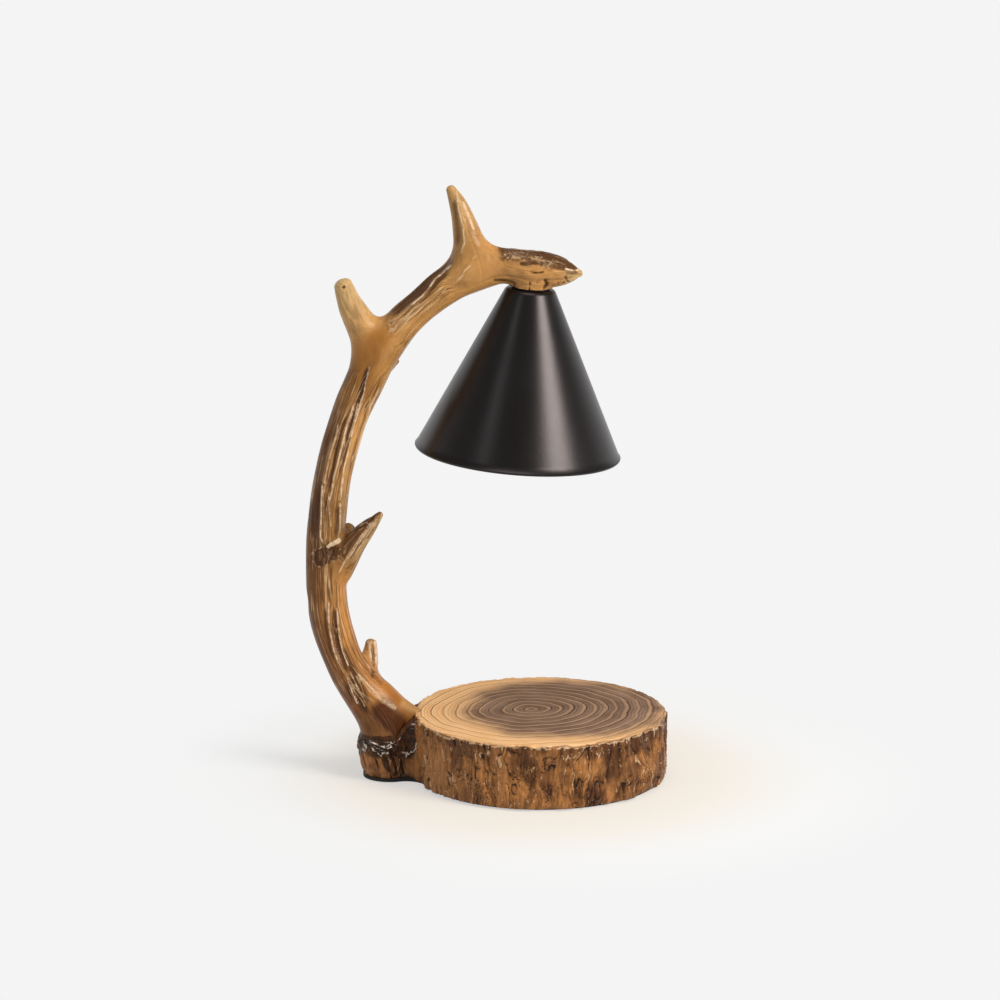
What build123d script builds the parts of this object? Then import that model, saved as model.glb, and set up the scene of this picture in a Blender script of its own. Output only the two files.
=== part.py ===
from build123d import *

import math
import os

# Candle warmer lamp: a cast-resin wood slice carries an antler-shaped arm, and a spun
# sheet-metal cone with a twist-lock reflector bulb hangs from the arm's end.
# Millimetres. Origin: centre of the pad's underside. +X: from the arm's foot to the shade. +Z: up.

# ---- driving dimensions -------------------------------------------------------------------
# Base casting
SLICE_RADIUS = 70.5
SLICE_TOP = 37.0
BARK_SWELL = 0.9
TOP_EDGE = 1.4
STUMP_RADIUS = 18.1
STUMP_TOP = 26.0
STUMP_OFFSET = 13.5
STUMP_SHOULDER = 4.0
JUNCTION_RADIUS = 8.2
SADDLE_START = 2.0
SADDLE_RUN = 12.5
BASE_EDGE = 1.0
POCKET_RADIUS = 54.0
POCKET_CEILING = 21.0
STUMP_POCKET_RADIUS = 10.5
STUMP_POCKET_CEILING = 18.0
CHANNEL_WIDTH = 12.0

# Pad and cover under the base
PAD_THICKNESS = 2.0
PAD_RECESS = 1.2
PAD_INSET = 3.0
COVER_THICKNESS = 2.0
COVER_LAP = 4.0
COVER_SCREW_PLACE = 31.0
BOSS_RADIUS = 4.5
SCREW_RADIUS = 1.45
SCREW_LENGTH = 9.0
SCREW_HEAD_RADIUS = 2.8
SCREW_HEAD_HEIGHT = 1.7
SCREW_BITE = 6.0
PAD_HOLE_MARGIN = 0.8

# Arm
TENON_RADIUS = 9.8
TENON_LENGTH = 4.8
SOCKET_DEPTH = 5.0
CONDUIT_RADIUS = 4.0
CONDUIT_BORE = 3.0
CONDUIT_TAIL = 6.5
ARM_WASHER_THICKNESS = 1.5
ARM_NUT_FLATS = 13.0
ARM_NUT_HEIGHT = 4.0
COLLAR_HEIGHT = 7.0
COLLAR_SPREAD = 0.6
LEAD_RADIUS = 0.8
LEAD_SPREAD = 1.2
LEAD_LIFT = 2.2
TIP_BLUNTNESS = 0.8

# Shade, seen along its own axis: zero at the outside of its flat top, negative towards the rim
SHADE_X = -5.7
SHADE_TOP_Z = 278.2
SHADE_TILT = 4.33
SHADE_HEIGHT = 92.8
SHADE_TOP_RADIUS = 13.4
SHADE_RIM_RADIUS = 57.0
SHADE_WALL = 1.0
SHADE_SHOULDER = 3.0
RIM_BEAD = 1.1

# Hanging hardware
GASKET_THICKNESS = 1.0
GASKET_RADIUS = 10.4
INSERT_LENGTH = 6.0
NIPPLE_RADIUS = 5.0
INSERT_RADIUS = NIPPLE_RADIUS + 1.8
NIPPLE_BORE = 3.5
WASHER_THICKNESS = 0.8
TOOTH_WASHER_RADIUS = 9.0
NUT_HEIGHT = 3.0
NUT_FLATS = 2 * NIPPLE_RADIUS + 4.0
BRACKET_SHEET = 1.2
BRACKET_SPAN = 23.0
BRACKET_WIDTH = 2 * NIPPLE_RADIUS + 2.0
BRACKET_DROP = 13.2

# Twist-lock lamp holder and bulb
HOLDER_RADIUS = 14.0
HOLDER_LENGTH = 14.2
PIN_PITCH = 10.0
PIN_RADIUS = 1.45
PIN_HEAD_RADIUS = 2.4
PIN_HEAD_LENGTH = 4.3
TWIST_ANGLE = 45.0
FACE_PLATE = 2.7
CHANNEL_HEIGHT = 6.0
HOLDER_SCREW_PLACE = 8.0
HOLDER_SCREW_HEAD = 2.5
HOLDER_SCREW_SINK = 2.2
BRACKET_FOOT = 3.2
CONTACT_POST_RADIUS = 1.3
ENTRY_GAP = 0.4
PIN_SEAT = 4.0
BULB_RADIUS = 25.0
BULB_LENGTH = 46.0
BULB_BASE_RADIUS = 11.5
BULB_BASE_LENGTH = 11.4
BULB_WALL = 1.2
LENS_DOME = 0.6

# Supply side, inside the base
INLET_Z = 12.5
INLET_BORE = 3.2
GLAND_RADIUS = 6.0
FLANGE_RADIUS = 8.0
FLANGE_THICKNESS = 2.0
BLOCK_X = -21.5
BLOCK_LENGTH = 17.0
BLOCK_FOOT = 4.4
POLE_PITCH = 11.6
POLE_SCREW_PLACE = 4.5
BARREL_WIDTH = 5.6
BARREL_DROP = 3.6
TUBE_RADIUS = 2.2
GRUB_RADIUS = 1.25
LEAD_ENTRY_Z = 13.5
CLAMP_Y = 42.0
CLAMP_SCREW_PLACE = 8.5
CLAMP_POST_RADIUS = 3.2
CLAMP_BAR_WIDTH = 7.0
CLAMP_BAR_THICKNESS = 2.4

# Fits
SLIP = 0.1
CLEAR = 0.3
HOLE_GAP = 0.05

# ---- places worked out from the dimensions -------------------------------------------------
FOOT_X = -(SLICE_RADIUS + STUMP_OFFSET)
BASE_UNDERSIDE = PAD_THICKNESS - PAD_RECESS
COVER_UNDERSIDE = PAD_THICKNESS
COVER_TOP = COVER_UNDERSIDE + COVER_THICKNESS
CLAMP_BAR_TOP = INLET_Z - INLET_BORE - CLEAR
FLANGE_FACE = SLICE_RADIUS - 1.5
CONDUIT_TAIL_Z = STUMP_POCKET_CEILING - CONDUIT_TAIL
HALF_PITCH = PIN_PITCH / 2
HOLDER_BACK = -(SHADE_WALL + WASHER_THICKNESS + NUT_HEIGHT + BRACKET_DROP)
HOLDER_FACE = HOLDER_BACK - HOLDER_LENGTH
BULB_SHOULDER = HOLDER_FACE - CLEAR
BULB_FACE = BULB_SHOULDER - BULB_LENGTH
CHANNEL_FLOOR = HOLDER_FACE + FACE_PLATE
CHANNEL_ROOF = CHANNEL_FLOOR + CHANNEL_HEIGHT
NIPPLE_TOP = GASKET_THICKNESS + INSERT_LENGTH
BRACKET_WEB_TOP = -(SHADE_WALL + WASHER_THICKNESS + NUT_HEIGHT)
NIPPLE_END = BRACKET_WEB_TOP - BRACKET_SHEET - NUT_HEIGHT - 1.0
TILT = math.radians(SHADE_TILT)
SHADE_PLANE = Plane(
    origin=(SHADE_X, 0, SHADE_TOP_Z),
    x_dir=(math.cos(TILT), 0, -math.sin(TILT)),
    z_dir=(math.sin(TILT), 0, math.cos(TILT)),
)


def arm_point(lean, rise, sway=0.0):
    """A point of the arm: lean 0 at its foot and 1 at the shade, rise 0 on the stump and 1 at the shade."""
    return Vector(
        FOOT_X + lean * (SHADE_X - FOOT_X),
        sway,
        STUMP_TOP + rise * (SHADE_TOP_Z - STUMP_TOP),
    )


# Stations of the beam: lean, rise, sway, half-width in the arm's plane, half-depth across it
BEAM = [
    (-0.018, 0.000, 0.0, 15.0, 13.6),
    (-0.063, 0.042, 0.0, 14.6, 13.2),
    (-0.166, 0.089, 0.0, 13.2, 12.0),
    (-0.278, 0.141, -0.5, 11.4, 10.6),
    (-0.373, 0.207, -1.0, 10.8, 10.0),
    (-0.429, 0.282, -1.5, 11.0, 10.0),
    (-0.444, 0.365, -1.5, 10.8, 10.0),
    (-0.437, 0.472, 0.0, 10.4, 9.6),
    (-0.396, 0.571, 1.5, 10.0, 9.3),
    (-0.312, 0.674, 2.0, 10.0, 9.3),
    (-0.178, 0.781, 1.0, 10.5, 9.8),
    (0.038, 0.898, 0.0, 10.2, 9.8),
    (0.265, 0.969, 0.0, 9.4, 9.2),
    (0.520, 1.025, 0.0, 10.3, 9.8),
    (0.774, 1.049, 0.0, 9.8, 10.0),
    (0.996, 1.043, 0.0, 10.2, 11.0),
    (1.161, 1.039, 0.0, 9.4, 10.2),
    (1.275, 1.034, 0.0, 5.9, 6.6),
    (1.352, 1.033, 0.0, 1.7, 1.9),
]

# Tines, from root to tip: lean, rise, sway, radius
CROWN_TINE = [
    (0.615, 1.047, 0.0, 9.4),
    (0.577, 1.106, 0.5, 7.6),
    (0.537, 1.154, 1.0, 5.6),
    (0.492, 1.193, 1.5, 4.2),
    (0.456, 1.221, 2.0, 2.4),
]
BROW_TINE = [
    (-0.095, 0.860, 0.0, 8.5),
    (-0.184, 0.920, -2.0, 8.6),
    (-0.253, 0.967, -4.0, 6.9),
    (-0.300, 1.006, -6.0, 4.6),
]
FRONT_TINE = [
    (-0.362, 0.365, 0.0, 9.0),
    (-0.232, 0.433, -5.0, 7.0),
    (-0.154, 0.466, -8.5, 4.9),
    (-0.062, 0.502, -13.5, 1.8),
]
HEEL_TINE = [
    (-0.209, 0.095, 4.0, 7.0),
    (-0.146, 0.147, 10.5, 4.8),
    (-0.131, 0.190, 12.0, 2.9),
]
BACK_TINE = [
    (-0.185, 0.745, 5.0, 6.2),
    (-0.052, 0.795, 13.0, 3.9),
    (0.052, 0.821, 19.0, 1.9),
]
BACK_STUB = [
    (-0.374, 0.416, 4.0, 5.4),
    (-0.282, 0.452, 10.5, 3.4),
]

# Each tine with the radius of the web that runs out from it onto the beam
TINES = [
    (CROWN_TINE, 6.0),
    (BROW_TINE, 8.0),
    (HEEL_TINE, 3.0),
    (FRONT_TINE, 0.0),
    (BACK_TINE, 0.0),
    (BACK_STUB, 0.0),
]

# Route of the conduit and of the leads: lean and rise of each corner
CONDUIT_ROUTE = [
    (0.000, 0.012),
    (-0.368, 0.178),
    (-0.470, 0.365),
    (-0.419, 0.551),
    (-0.235, 0.745),
    (0.159, 0.944),
    (0.489, 1.033),
]
CONDUIT_END = (0.819, 1.049)
CONDUIT_RADII = [26.0, 90.0, 150.0, 190.0, 150.0, 95.0, 40.0]
CROSSING = (1.014, 1.0585)


# ---- helpers --------------------------------------------------------------------------------
def disc(radius, low, high, x=0.0, y=0.0):
    """A round bar along Z between two heights."""
    return Pos(x, y, low) * extrude(Circle(radius), high - low)


def ring(outer, inner, low, high, x=0.0, y=0.0):
    """A washer or tube along Z between two heights."""
    return disc(outer, low, high, x, y) - disc(inner, low - 1, high + 1, x, y)


def hex_nut(flats, bore, low, high):
    """A plain hexagon nut with a bore, its corners bevelled on both faces."""
    blank = Pos(0, 0, low) * extrude(RegularPolygon(flats / 2, 6, major_radius=False), high - low)
    bevel = (high - low) * 0.18
    corner = flats / 2 / math.cos(math.pi / 6)
    turned = Polyline(
        (0, low),
        (corner - 2 * bevel, low),
        (corner, low + bevel),
        (corner, high - bevel),
        (corner - 2 * bevel, high),
        (0, high),
        close=True,
    )
    trimmed = blank & revolve(make_face(Plane.XZ * turned), Axis.Z)
    return trimmed - disc(bore, low - 1, high + 1)


def turned_profile(*points):
    """A solid of revolution about Z from (radius, height) points."""
    return revolve(make_face(Plane.XZ * Polyline(*points, close=True)), Axis.Z)


def on_shade_axis(shape):
    """Takes a shape made about Z at zero to the shade's tilted axis."""
    return SHADE_PLANE.location * shape


def countersunk_screw(x, y, seat, tip):
    """A countersunk screw pointing up, the flat face of its head at the seat."""
    turned = turned_profile(
        (0, seat),
        (SCREW_HEAD_RADIUS, seat),
        (SCREW_RADIUS, seat + SCREW_HEAD_HEIGHT),
        (SCREW_RADIUS, tip - 1.2),
        (0.3, tip),
        (0, tip),
    )
    return Pos(x, y, 0) * (turned - Pos(0, 0, seat) * Box(SCREW_HEAD_RADIUS * 1.3, 0.7, 1.2))


# ---- base -----------------------------------------------------------------------------------
def bark_loop(radius):
    """The wavy outline of a sawn trunk: a circle whose radius swells and dips along its run."""
    count = 60
    points = []
    for i in range(count):
        turn = 2 * math.pi * i / count
        swell = 0.5 * math.sin(3 * turn + 0.7) + 0.3 * math.sin(7 * turn + 2.0)
        swell += 0.2 * math.sin(11 * turn)
        reach = radius - BARK_SWELL + BARK_SWELL * swell
        points.append((reach * math.cos(turn), reach * math.sin(turn)))
    return make_face(Spline(*points, periodic=True))


def trunk_outline(inset):
    """The slice and its stump lobe as one outline, set in from the bark, with rounded inner corners."""
    run = -FOOT_X
    to_corner = SLICE_RADIUS + JUNCTION_RADIUS
    from_stump = STUMP_RADIUS + JUNCTION_RADIUS
    along = (to_corner**2 - from_stump**2 + run**2) / (2 * run)
    across = math.sqrt(to_corner**2 - along**2)
    web = make_face(Polyline((0, 0), (-along, across), (FOOT_X, 0), (-along, -across), close=True))
    for side in (-1, 1):
        web -= Pos(-along, side * across) * Circle(JUNCTION_RADIUS + inset)
    return Circle(SLICE_RADIUS - inset) + Pos(FOOT_X, 0) * Circle(STUMP_RADIUS - inset) + web


def cover_outline(lap):
    """The pocket's opening grown by lap: a disc with a tongue that reaches under the stump."""
    tongue_radius = STUMP_POCKET_RADIUS + lap / 2
    tongue = Pos(FOOT_X / 2, 0) * Rectangle(-FOOT_X, 2 * tongue_radius)
    return Circle(POCKET_RADIUS + lap) + tongue + Pos(FOOT_X, 0) * Circle(tongue_radius)


def screw_places():
    """Centres of the four cover screws."""
    return [(sx * COVER_SCREW_PLACE, sy * COVER_SCREW_PLACE) for sx in (-1, 1) for sy in (-1, 1)]


def base_body():
    """The outer form: the slice on its lower trunk with the stump's rounded shoulder."""
    sawn = Pos(0, 0, BASE_UNDERSIDE) * extrude(bark_loop(SLICE_RADIUS), SLICE_TOP - BASE_UNDERSIDE)
    sawn = fillet(sawn.edges().group_by(Axis.Z)[-1], TOP_EDGE)
    trunk = Pos(0, 0, BASE_UNDERSIDE) * extrude(
        trunk_outline(2 * BARK_SWELL), STUMP_TOP - BASE_UNDERSIDE
    )
    trunk = fillet(trunk.edges().group_by(Axis.Z)[-1], STUMP_SHOULDER)
    trunk = chamfer(trunk.edges().group_by(Axis.Z)[0], BASE_EDGE)
    return sawn + trunk + bark_saddle()


def bark_saddle():
    """Bark that climbs from the stump's shoulder to the slice's rim on both sides of the arm's foot."""
    low = STUMP_TOP - STUMP_SHOULDER
    high = SLICE_TOP - TOP_EDGE
    start = FOOT_X + SADDLE_START
    inner = -SLICE_RADIUS / 2
    rise = make_face(
        Polyline((start, low), (start + SADDLE_RUN, high), (inner, high), (inner, low), close=True)
    )
    wedge = extrude(Plane.XZ * rise, SLICE_RADIUS, both=True)
    block = Pos(0, 0, low) * extrude(trunk_outline(2 * BARK_SWELL), high - low)
    return block & wedge


def base_hollows():
    """Everything cut from the underside: pad recess, cover rabbet, pocket, lead channel."""
    cut = Pos(0, 0, BASE_UNDERSIDE - 1) * extrude(trunk_outline(PAD_INSET - SLIP), PAD_RECESS + 1)
    rabbet = extrude(cover_outline(COVER_LAP), COVER_TOP - COVER_UNDERSIDE + 0.5)
    cut += Pos(0, 0, COVER_UNDERSIDE - 0.5) * rabbet
    cut += disc(POCKET_RADIUS, COVER_TOP - 0.5, POCKET_CEILING)
    cut += disc(STUMP_POCKET_RADIUS, COVER_TOP - 0.5, STUMP_POCKET_CEILING, FOOT_X)
    channel = Pos(FOOT_X / 2, 0, (COVER_TOP + STUMP_POCKET_CEILING) / 2) * Box(
        -FOOT_X, CHANNEL_WIDTH, STUMP_POCKET_CEILING - COVER_TOP
    )
    return cut + channel


def base_bosses():
    """Posts from the pocket's ceiling: four for the cover, two for the cord clamp."""
    posts = [disc(BOSS_RADIUS, COVER_TOP, POCKET_CEILING + 1, x, y) for x, y in screw_places()]
    for side in (-1, 1):
        x = side * CLAMP_SCREW_PLACE
        posts.append(disc(CLAMP_POST_RADIUS, CLAMP_BAR_TOP, POCKET_CEILING + 1, x, CLAMP_Y))
    return posts


def base_slice():
    """The base casting with its socket, hollows, bosses and rear inlet."""
    body = base_body() - base_hollows()
    for post in base_bosses():
        body += post
    for x, y in screw_places():
        body -= disc(SCREW_RADIUS + HOLE_GAP, COVER_TOP - 1, COVER_TOP + SCREW_LENGTH, x, y)
    pilot = SCREW_RADIUS + HOLE_GAP
    bite = SCREW_BITE + 1
    for side in (-1, 1):
        x = side * CLAMP_SCREW_PLACE
        body -= disc(pilot, CLAMP_BAR_TOP - 1, CLAMP_BAR_TOP + bite, x, CLAMP_Y)
    body -= disc(pilot, POCKET_CEILING - 1, POCKET_CEILING + bite, BLOCK_X)
    body -= disc(TENON_RADIUS + SLIP, STUMP_TOP - SOCKET_DEPTH, STUMP_TOP + 1, FOOT_X)
    body -= disc(CONDUIT_RADIUS + SLIP, STUMP_POCKET_CEILING - 1, STUMP_TOP, FOOT_X)
    seat = BEAM[0][3] + CLEAR
    body -= disc(seat, STUMP_TOP, SLICE_TOP + 1, arm_point(BEAM[0][0], 0).X)
    body -= along_y(GLAND_RADIUS + SLIP, POCKET_RADIUS - 5, SLICE_RADIUS + 5)
    body -= along_y(FLANGE_RADIUS + CLEAR, FLANGE_FACE - FLANGE_THICKNESS, SLICE_RADIUS + 5)
    return body


def along_y(radius, start, end):
    """A round bar along +Y at the height of the cord inlet."""
    return extrude(Plane(origin=(0, start, INLET_Z), z_dir=(0, 1, 0)) * Circle(radius), end - start)


def base_cover():
    """Flat cover plate with countersunk holes, let into its rabbet."""
    plate = Pos(0, 0, COVER_UNDERSIDE) * extrude(cover_outline(COVER_LAP - CLEAR), COVER_THICKNESS)
    for x, y in screw_places():
        plate -= disc(SCREW_RADIUS + SLIP, COVER_UNDERSIDE - 1, COVER_TOP + 1, x, y)
        sink = turned_profile(
            (0, COVER_UNDERSIDE - 0.1),
            (SCREW_HEAD_RADIUS + SLIP, COVER_UNDERSIDE - 0.1),
            (SCREW_HEAD_RADIUS + SLIP, COVER_UNDERSIDE),
            (SCREW_RADIUS + SLIP, COVER_UNDERSIDE + SCREW_HEAD_HEIGHT),
            (0, COVER_UNDERSIDE + SCREW_HEAD_HEIGHT),
        )
        plate -= Pos(x, y, 0) * sink
    return plate


def base_pad():
    """Foam pad on the whole underside, pierced over each cover screw."""
    pad = extrude(trunk_outline(PAD_INSET), PAD_THICKNESS)
    for x, y in screw_places():
        pad -= disc(SCREW_HEAD_RADIUS + PAD_HOLE_MARGIN, -1, PAD_THICKNESS + 1, x, y)
    return pad


def cover_screws():
    """Four countersunk screws that hold the cover."""
    tip = COVER_UNDERSIDE + SCREW_LENGTH
    return [countersunk_screw(x, y, COVER_UNDERSIDE, tip) for x, y in screw_places()]


# ---- supply side inside the base ----------------------------------------------------------------
def cable_gland():
    """Rubber bushing pushed into the rear inlet: outer flange, body and inner lip."""
    gland = along_y(GLAND_RADIUS, POCKET_RADIUS - 2.5, FLANGE_FACE)
    gland += along_y(FLANGE_RADIUS, FLANGE_FACE - FLANGE_THICKNESS, FLANGE_FACE)
    gland += along_y(GLAND_RADIUS + 0.9, POCKET_RADIUS - 2.5, POCKET_RADIUS - CLEAR - 0.5)
    return gland - along_y(INLET_BORE, POCKET_RADIUS - 4, SLICE_RADIUS + 4)


def cord_clamp():
    """Bar that presses the cord against its two posts."""
    length = 2 * CLAMP_SCREW_PLACE + CLAMP_BAR_WIDTH
    bar = Pos(0, CLAMP_Y, CLAMP_BAR_TOP - CLAMP_BAR_THICKNESS) * extrude(
        SlotOverall(length, CLAMP_BAR_WIDTH), CLAMP_BAR_THICKNESS
    )
    bar -= Pos(0, CLAMP_Y, CLAMP_BAR_TOP + 0.9) * Rot(90, 0, 0) * Cylinder(1.6, 3 * CLAMP_BAR_WIDTH)
    for side in (-1, 1):
        x = side * CLAMP_SCREW_PLACE
        bar -= disc(SCREW_RADIUS + SLIP, CLAMP_BAR_TOP - 4, CLAMP_BAR_TOP + 1, x, CLAMP_Y)
    return bar


def pan_screw(x, y, seat, tip):
    """A pan-head screw pointing up, its head's upper face on the seat."""
    head = Pos(x, y, 0) * turned_profile(
        (0, seat - 1.8), (1.6, seat - 1.8), (2.6, seat - 0.9), (2.6, seat), (0, seat)
    )
    slot = Pos(x, y, seat - 1.8) * Box(3.6, 0.7, 1.2)
    return head + disc(SCREW_RADIUS, seat - 0.1, tip, x, y) - slot


def clamp_screws():
    """Two screws of the cord clamp."""
    seat = CLAMP_BAR_TOP - CLAMP_BAR_THICKNESS
    tip = CLAMP_BAR_TOP + SCREW_BITE
    return [pan_screw(side * CLAMP_SCREW_PLACE, CLAMP_Y, seat, tip) for side in (-1, 1)]


def terminal_block():
    """Two-pole block: a foot plate on the pocket's ceiling and a barrel for each pole."""
    low = LEAD_ENTRY_Z - BARREL_DROP
    barrel_height = POCKET_CEILING - 1 - low
    block = Pos(BLOCK_X, 0, POCKET_CEILING - BLOCK_FOOT / 2) * Box(
        BLOCK_LENGTH, POLE_PITCH + BARREL_WIDTH, BLOCK_FOOT
    )
    for side in (-1, 1):
        barrel = Pos(BLOCK_X, side * POLE_PITCH / 2, low + barrel_height / 2) * Box(
            BLOCK_LENGTH, BARREL_WIDTH, barrel_height
        )
        block += barrel
    block = chamfer(block.edges().group_by(Axis.Z)[0], 0.8)
    for side in (-1, 1):
        pole_y = side * POLE_PITCH / 2
        block -= Pos(BLOCK_X, pole_y, LEAD_ENTRY_Z) * Rot(0, 90, 0) * Cylinder(TUBE_RADIUS, 60)
        for end in (-1, 1):
            x = BLOCK_X + end * POLE_SCREW_PLACE
            block -= disc(GRUB_RADIUS + 0.5, low - 1, LEAD_ENTRY_Z, x, pole_y)
    return block - disc(SCREW_RADIUS + SLIP, low - 1, POCKET_CEILING + 1, BLOCK_X)


def terminal_tubes():
    """The two brass tubes that join each lead to the supply."""
    tubes = []
    for side in (-1, 1):
        pole_y = side * POLE_PITCH / 2
        turn = Pos(BLOCK_X, pole_y, LEAD_ENTRY_Z) * Rot(0, 90, 0)
        tube = turn * Cylinder(TUBE_RADIUS - HOLE_GAP, BLOCK_LENGTH - 3)
        tube -= turn * Cylinder(LEAD_RADIUS + 2 * SLIP, 60)
        for end in (-1, 1):
            x = BLOCK_X + end * POLE_SCREW_PLACE
            tube -= disc(GRUB_RADIUS + HOLE_GAP, LEAD_ENTRY_Z - 4, LEAD_ENTRY_Z, x, pole_y)
        tubes.append(tube)
    return tubes


def terminal_screws():
    """Four grub screws, two to each brass tube, their tips against the leads."""
    screws = []
    for side in (-1, 1):
        for end in (-1, 1):
            x, y = BLOCK_X + end * POLE_SCREW_PLACE, side * POLE_PITCH / 2
            low = LEAD_ENTRY_Z - BARREL_DROP - 0.2
            screw = disc(GRUB_RADIUS, low, LEAD_ENTRY_Z - LEAD_RADIUS - HOLE_GAP, x, y)
            screws.append(screw - Pos(x, y, low) * Box(2.6, 0.5, 1.2))
    return screws


def block_screw():
    """The screw that holds the terminal block to the ceiling."""
    return pan_screw(BLOCK_X, 0, POCKET_CEILING - BLOCK_FOOT, POCKET_CEILING + SCREW_BITE)


# ---- arm --------------------------------------------------------------------------------------
def heading(points, i):
    """Direction of a chain of points at one of them, from its neighbours."""
    before = points[max(i - 1, 0)]
    after = points[min(i + 1, len(points) - 1)]
    return (after - before).normalized()


def beam():
    """The beam and its blunt end: one loft through ellipses square to the curved centre line."""
    points = [arm_point(lean, rise, sway) for lean, rise, sway, _, _ in BEAM]
    sections = []
    for i, (_, _, _, half_width, half_depth) in enumerate(BEAM):
        run = Vector(0, 0, 1) if i == 0 else heading(points, i)
        plane = Plane(origin=points[i], x_dir=(0, 1, 0), z_dir=run)
        sections.append(plane * Ellipse(half_depth, half_width))
    return loft(sections)


def tine(stations):
    """A tine: a loft through shrinking circles along its bend, with a rounded tip."""
    points = [arm_point(lean, rise, sway) for lean, rise, sway, _ in stations]
    sections = []
    for i, station in enumerate(stations):
        plane = Plane(origin=points[i], x_dir=(0.2, 1, 0), z_dir=heading(points, i))
        sections.append(plane * Circle(station[3]))
    radius = stations[-1][3]
    dome = EllipticalCenterArc((0, 0), radius, radius * TIP_BLUNTNESS, 0, arc_size=90)
    profile = make_face([*dome.edges(), *Polyline(dome @ 1, (0, 0), dome @ 0).edges()])
    end = Plane(origin=points[-1], z_dir=heading(points, len(points) - 1))
    return loft(sections) + end.location * revolve(Plane.XZ * profile, Axis.Z)


def conduit_path(y, ends):
    """The bent route through the arm, at a distance y from its plane, between two end points."""
    corners = [arm_point(lean, rise, y) for lean, rise in CONDUIT_ROUTE]
    return FilletPolyline(ends[0], *corners, ends[1], radius=CONDUIT_RADII)


def conduit_ends(start_z, end):
    """Lower and upper end of the route."""
    return [Vector(FOOT_X, 0, start_z), arm_point(*end)]


def tube_along(path, radius):
    """A round bar along a path."""
    start = path @ 0
    return sweep(Plane(origin=start, z_dir=path % 0) * Circle(radius), path)


def antler_arm():
    """The arm casting: beam, tines and shade boss, bored for the conduit and cut for its seats."""
    arm = beam()
    for stations, web in TINES:
        root = tine(stations)
        joined = arm + root
        arm = fillet(new_edges(arm, root, combined=joined), web) if web else joined
    arm += on_shade_axis(
        turned_profile(
            (0, GASKET_THICKNESS),
            (GASKET_RADIUS + COLLAR_SPREAD, GASKET_THICKNESS),
            (GASKET_RADIUS, GASKET_THICKNESS + COLLAR_HEIGHT),
            (0, GASKET_THICKNESS + COLLAR_HEIGHT),
        )
    )
    arm -= on_shade_axis(disc(SHADE_TOP_RADIUS + 2, -20, GASKET_THICKNESS))
    arm -= on_shade_axis(disc(INSERT_RADIUS + HOLE_GAP, 0, NIPPLE_TOP))
    crossing = arm_point(*CROSSING)
    arm -= on_shade_axis(disc(NIPPLE_RADIUS + 0.5, 0, crossing.Z - SHADE_TOP_Z + 1.5))
    arm += disc(TENON_RADIUS, STUMP_TOP - TENON_LENGTH, STUMP_TOP + 1, FOOT_X)
    bore = conduit_path(0, conduit_ends(CONDUIT_TAIL_Z, CROSSING))
    return arm - tube_along(bore, CONDUIT_RADIUS + HOLE_GAP)


def conduit_tube():
    """Bent steel tube cast into the arm."""
    path = conduit_path(0, conduit_ends(CONDUIT_TAIL_Z, CONDUIT_END))
    return tube_along(path, CONDUIT_RADIUS) - tube_along(path, CONDUIT_BORE)


def arm_washer():
    """Washer under the stump's roof."""
    low = STUMP_POCKET_CEILING - ARM_WASHER_THICKNESS
    hole = CONDUIT_RADIUS + HOLE_GAP
    return ring(STUMP_POCKET_RADIUS - 2, hole, low, STUMP_POCKET_CEILING, FOOT_X)


def arm_nut():
    """Thin nut on the conduit's threaded end."""
    high = STUMP_POCKET_CEILING - ARM_WASHER_THICKNESS
    hole = CONDUIT_RADIUS + HOLE_GAP
    return Pos(FOOT_X, 0, 0) * hex_nut(ARM_NUT_FLATS, hole, high - ARM_NUT_HEIGHT, high)


def lead(side):
    """One insulated lead, from the terminal block through the conduit to the lamp holder."""
    offset = side * LEAD_SPREAD
    block_y = side * POLE_PITCH / 2
    floor_z = COVER_TOP + LEAD_LIFT
    head = [
        Vector(BLOCK_X - POLE_SCREW_PLACE, block_y, LEAD_ENTRY_Z),
        Vector(BLOCK_X - BLOCK_LENGTH, block_y, LEAD_ENTRY_Z),
        Vector(BLOCK_X - 2.2 * BLOCK_LENGTH, offset, floor_z),
        Vector(FOOT_X, offset, floor_z),
    ]
    climb = [arm_point(lean, rise, offset) for lean, rise in CONDUIT_ROUTE]
    tail = [
        arm_point(*CROSSING, offset),
        SHADE_PLANE.from_local_coords(Vector(0, offset, NIPPLE_END - 1.2)),
        SHADE_PLANE.from_local_coords(Vector(0, side * HALF_PITCH, HOLDER_BACK + 4.6)),
        SHADE_PLANE.from_local_coords(Vector(0, side * HALF_PITCH, HOLDER_BACK + 2)),
    ]
    radii = [12.0, 12.0, 4.5] + CONDUIT_RADII + [6.0, 2.6, 2.6]
    return tube_along(FilletPolyline(*head, *climb, *tail, radius=radii), LEAD_RADIUS)


def lead_live():
    """The live lead, on the +Y side."""
    return lead(1)


def lead_neutral():
    """The neutral lead, on the -Y side."""
    return lead(-1)


# ---- shade and hanging hardware, made about the shade's own axis ------------------------------------
def cone_radius(z):
    """Outer radius of the cone at a height on its axis."""
    grow = (SHADE_RIM_RADIUS - SHADE_TOP_RADIUS) / SHADE_HEIGHT
    return SHADE_TOP_RADIUS - grow * z


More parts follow.
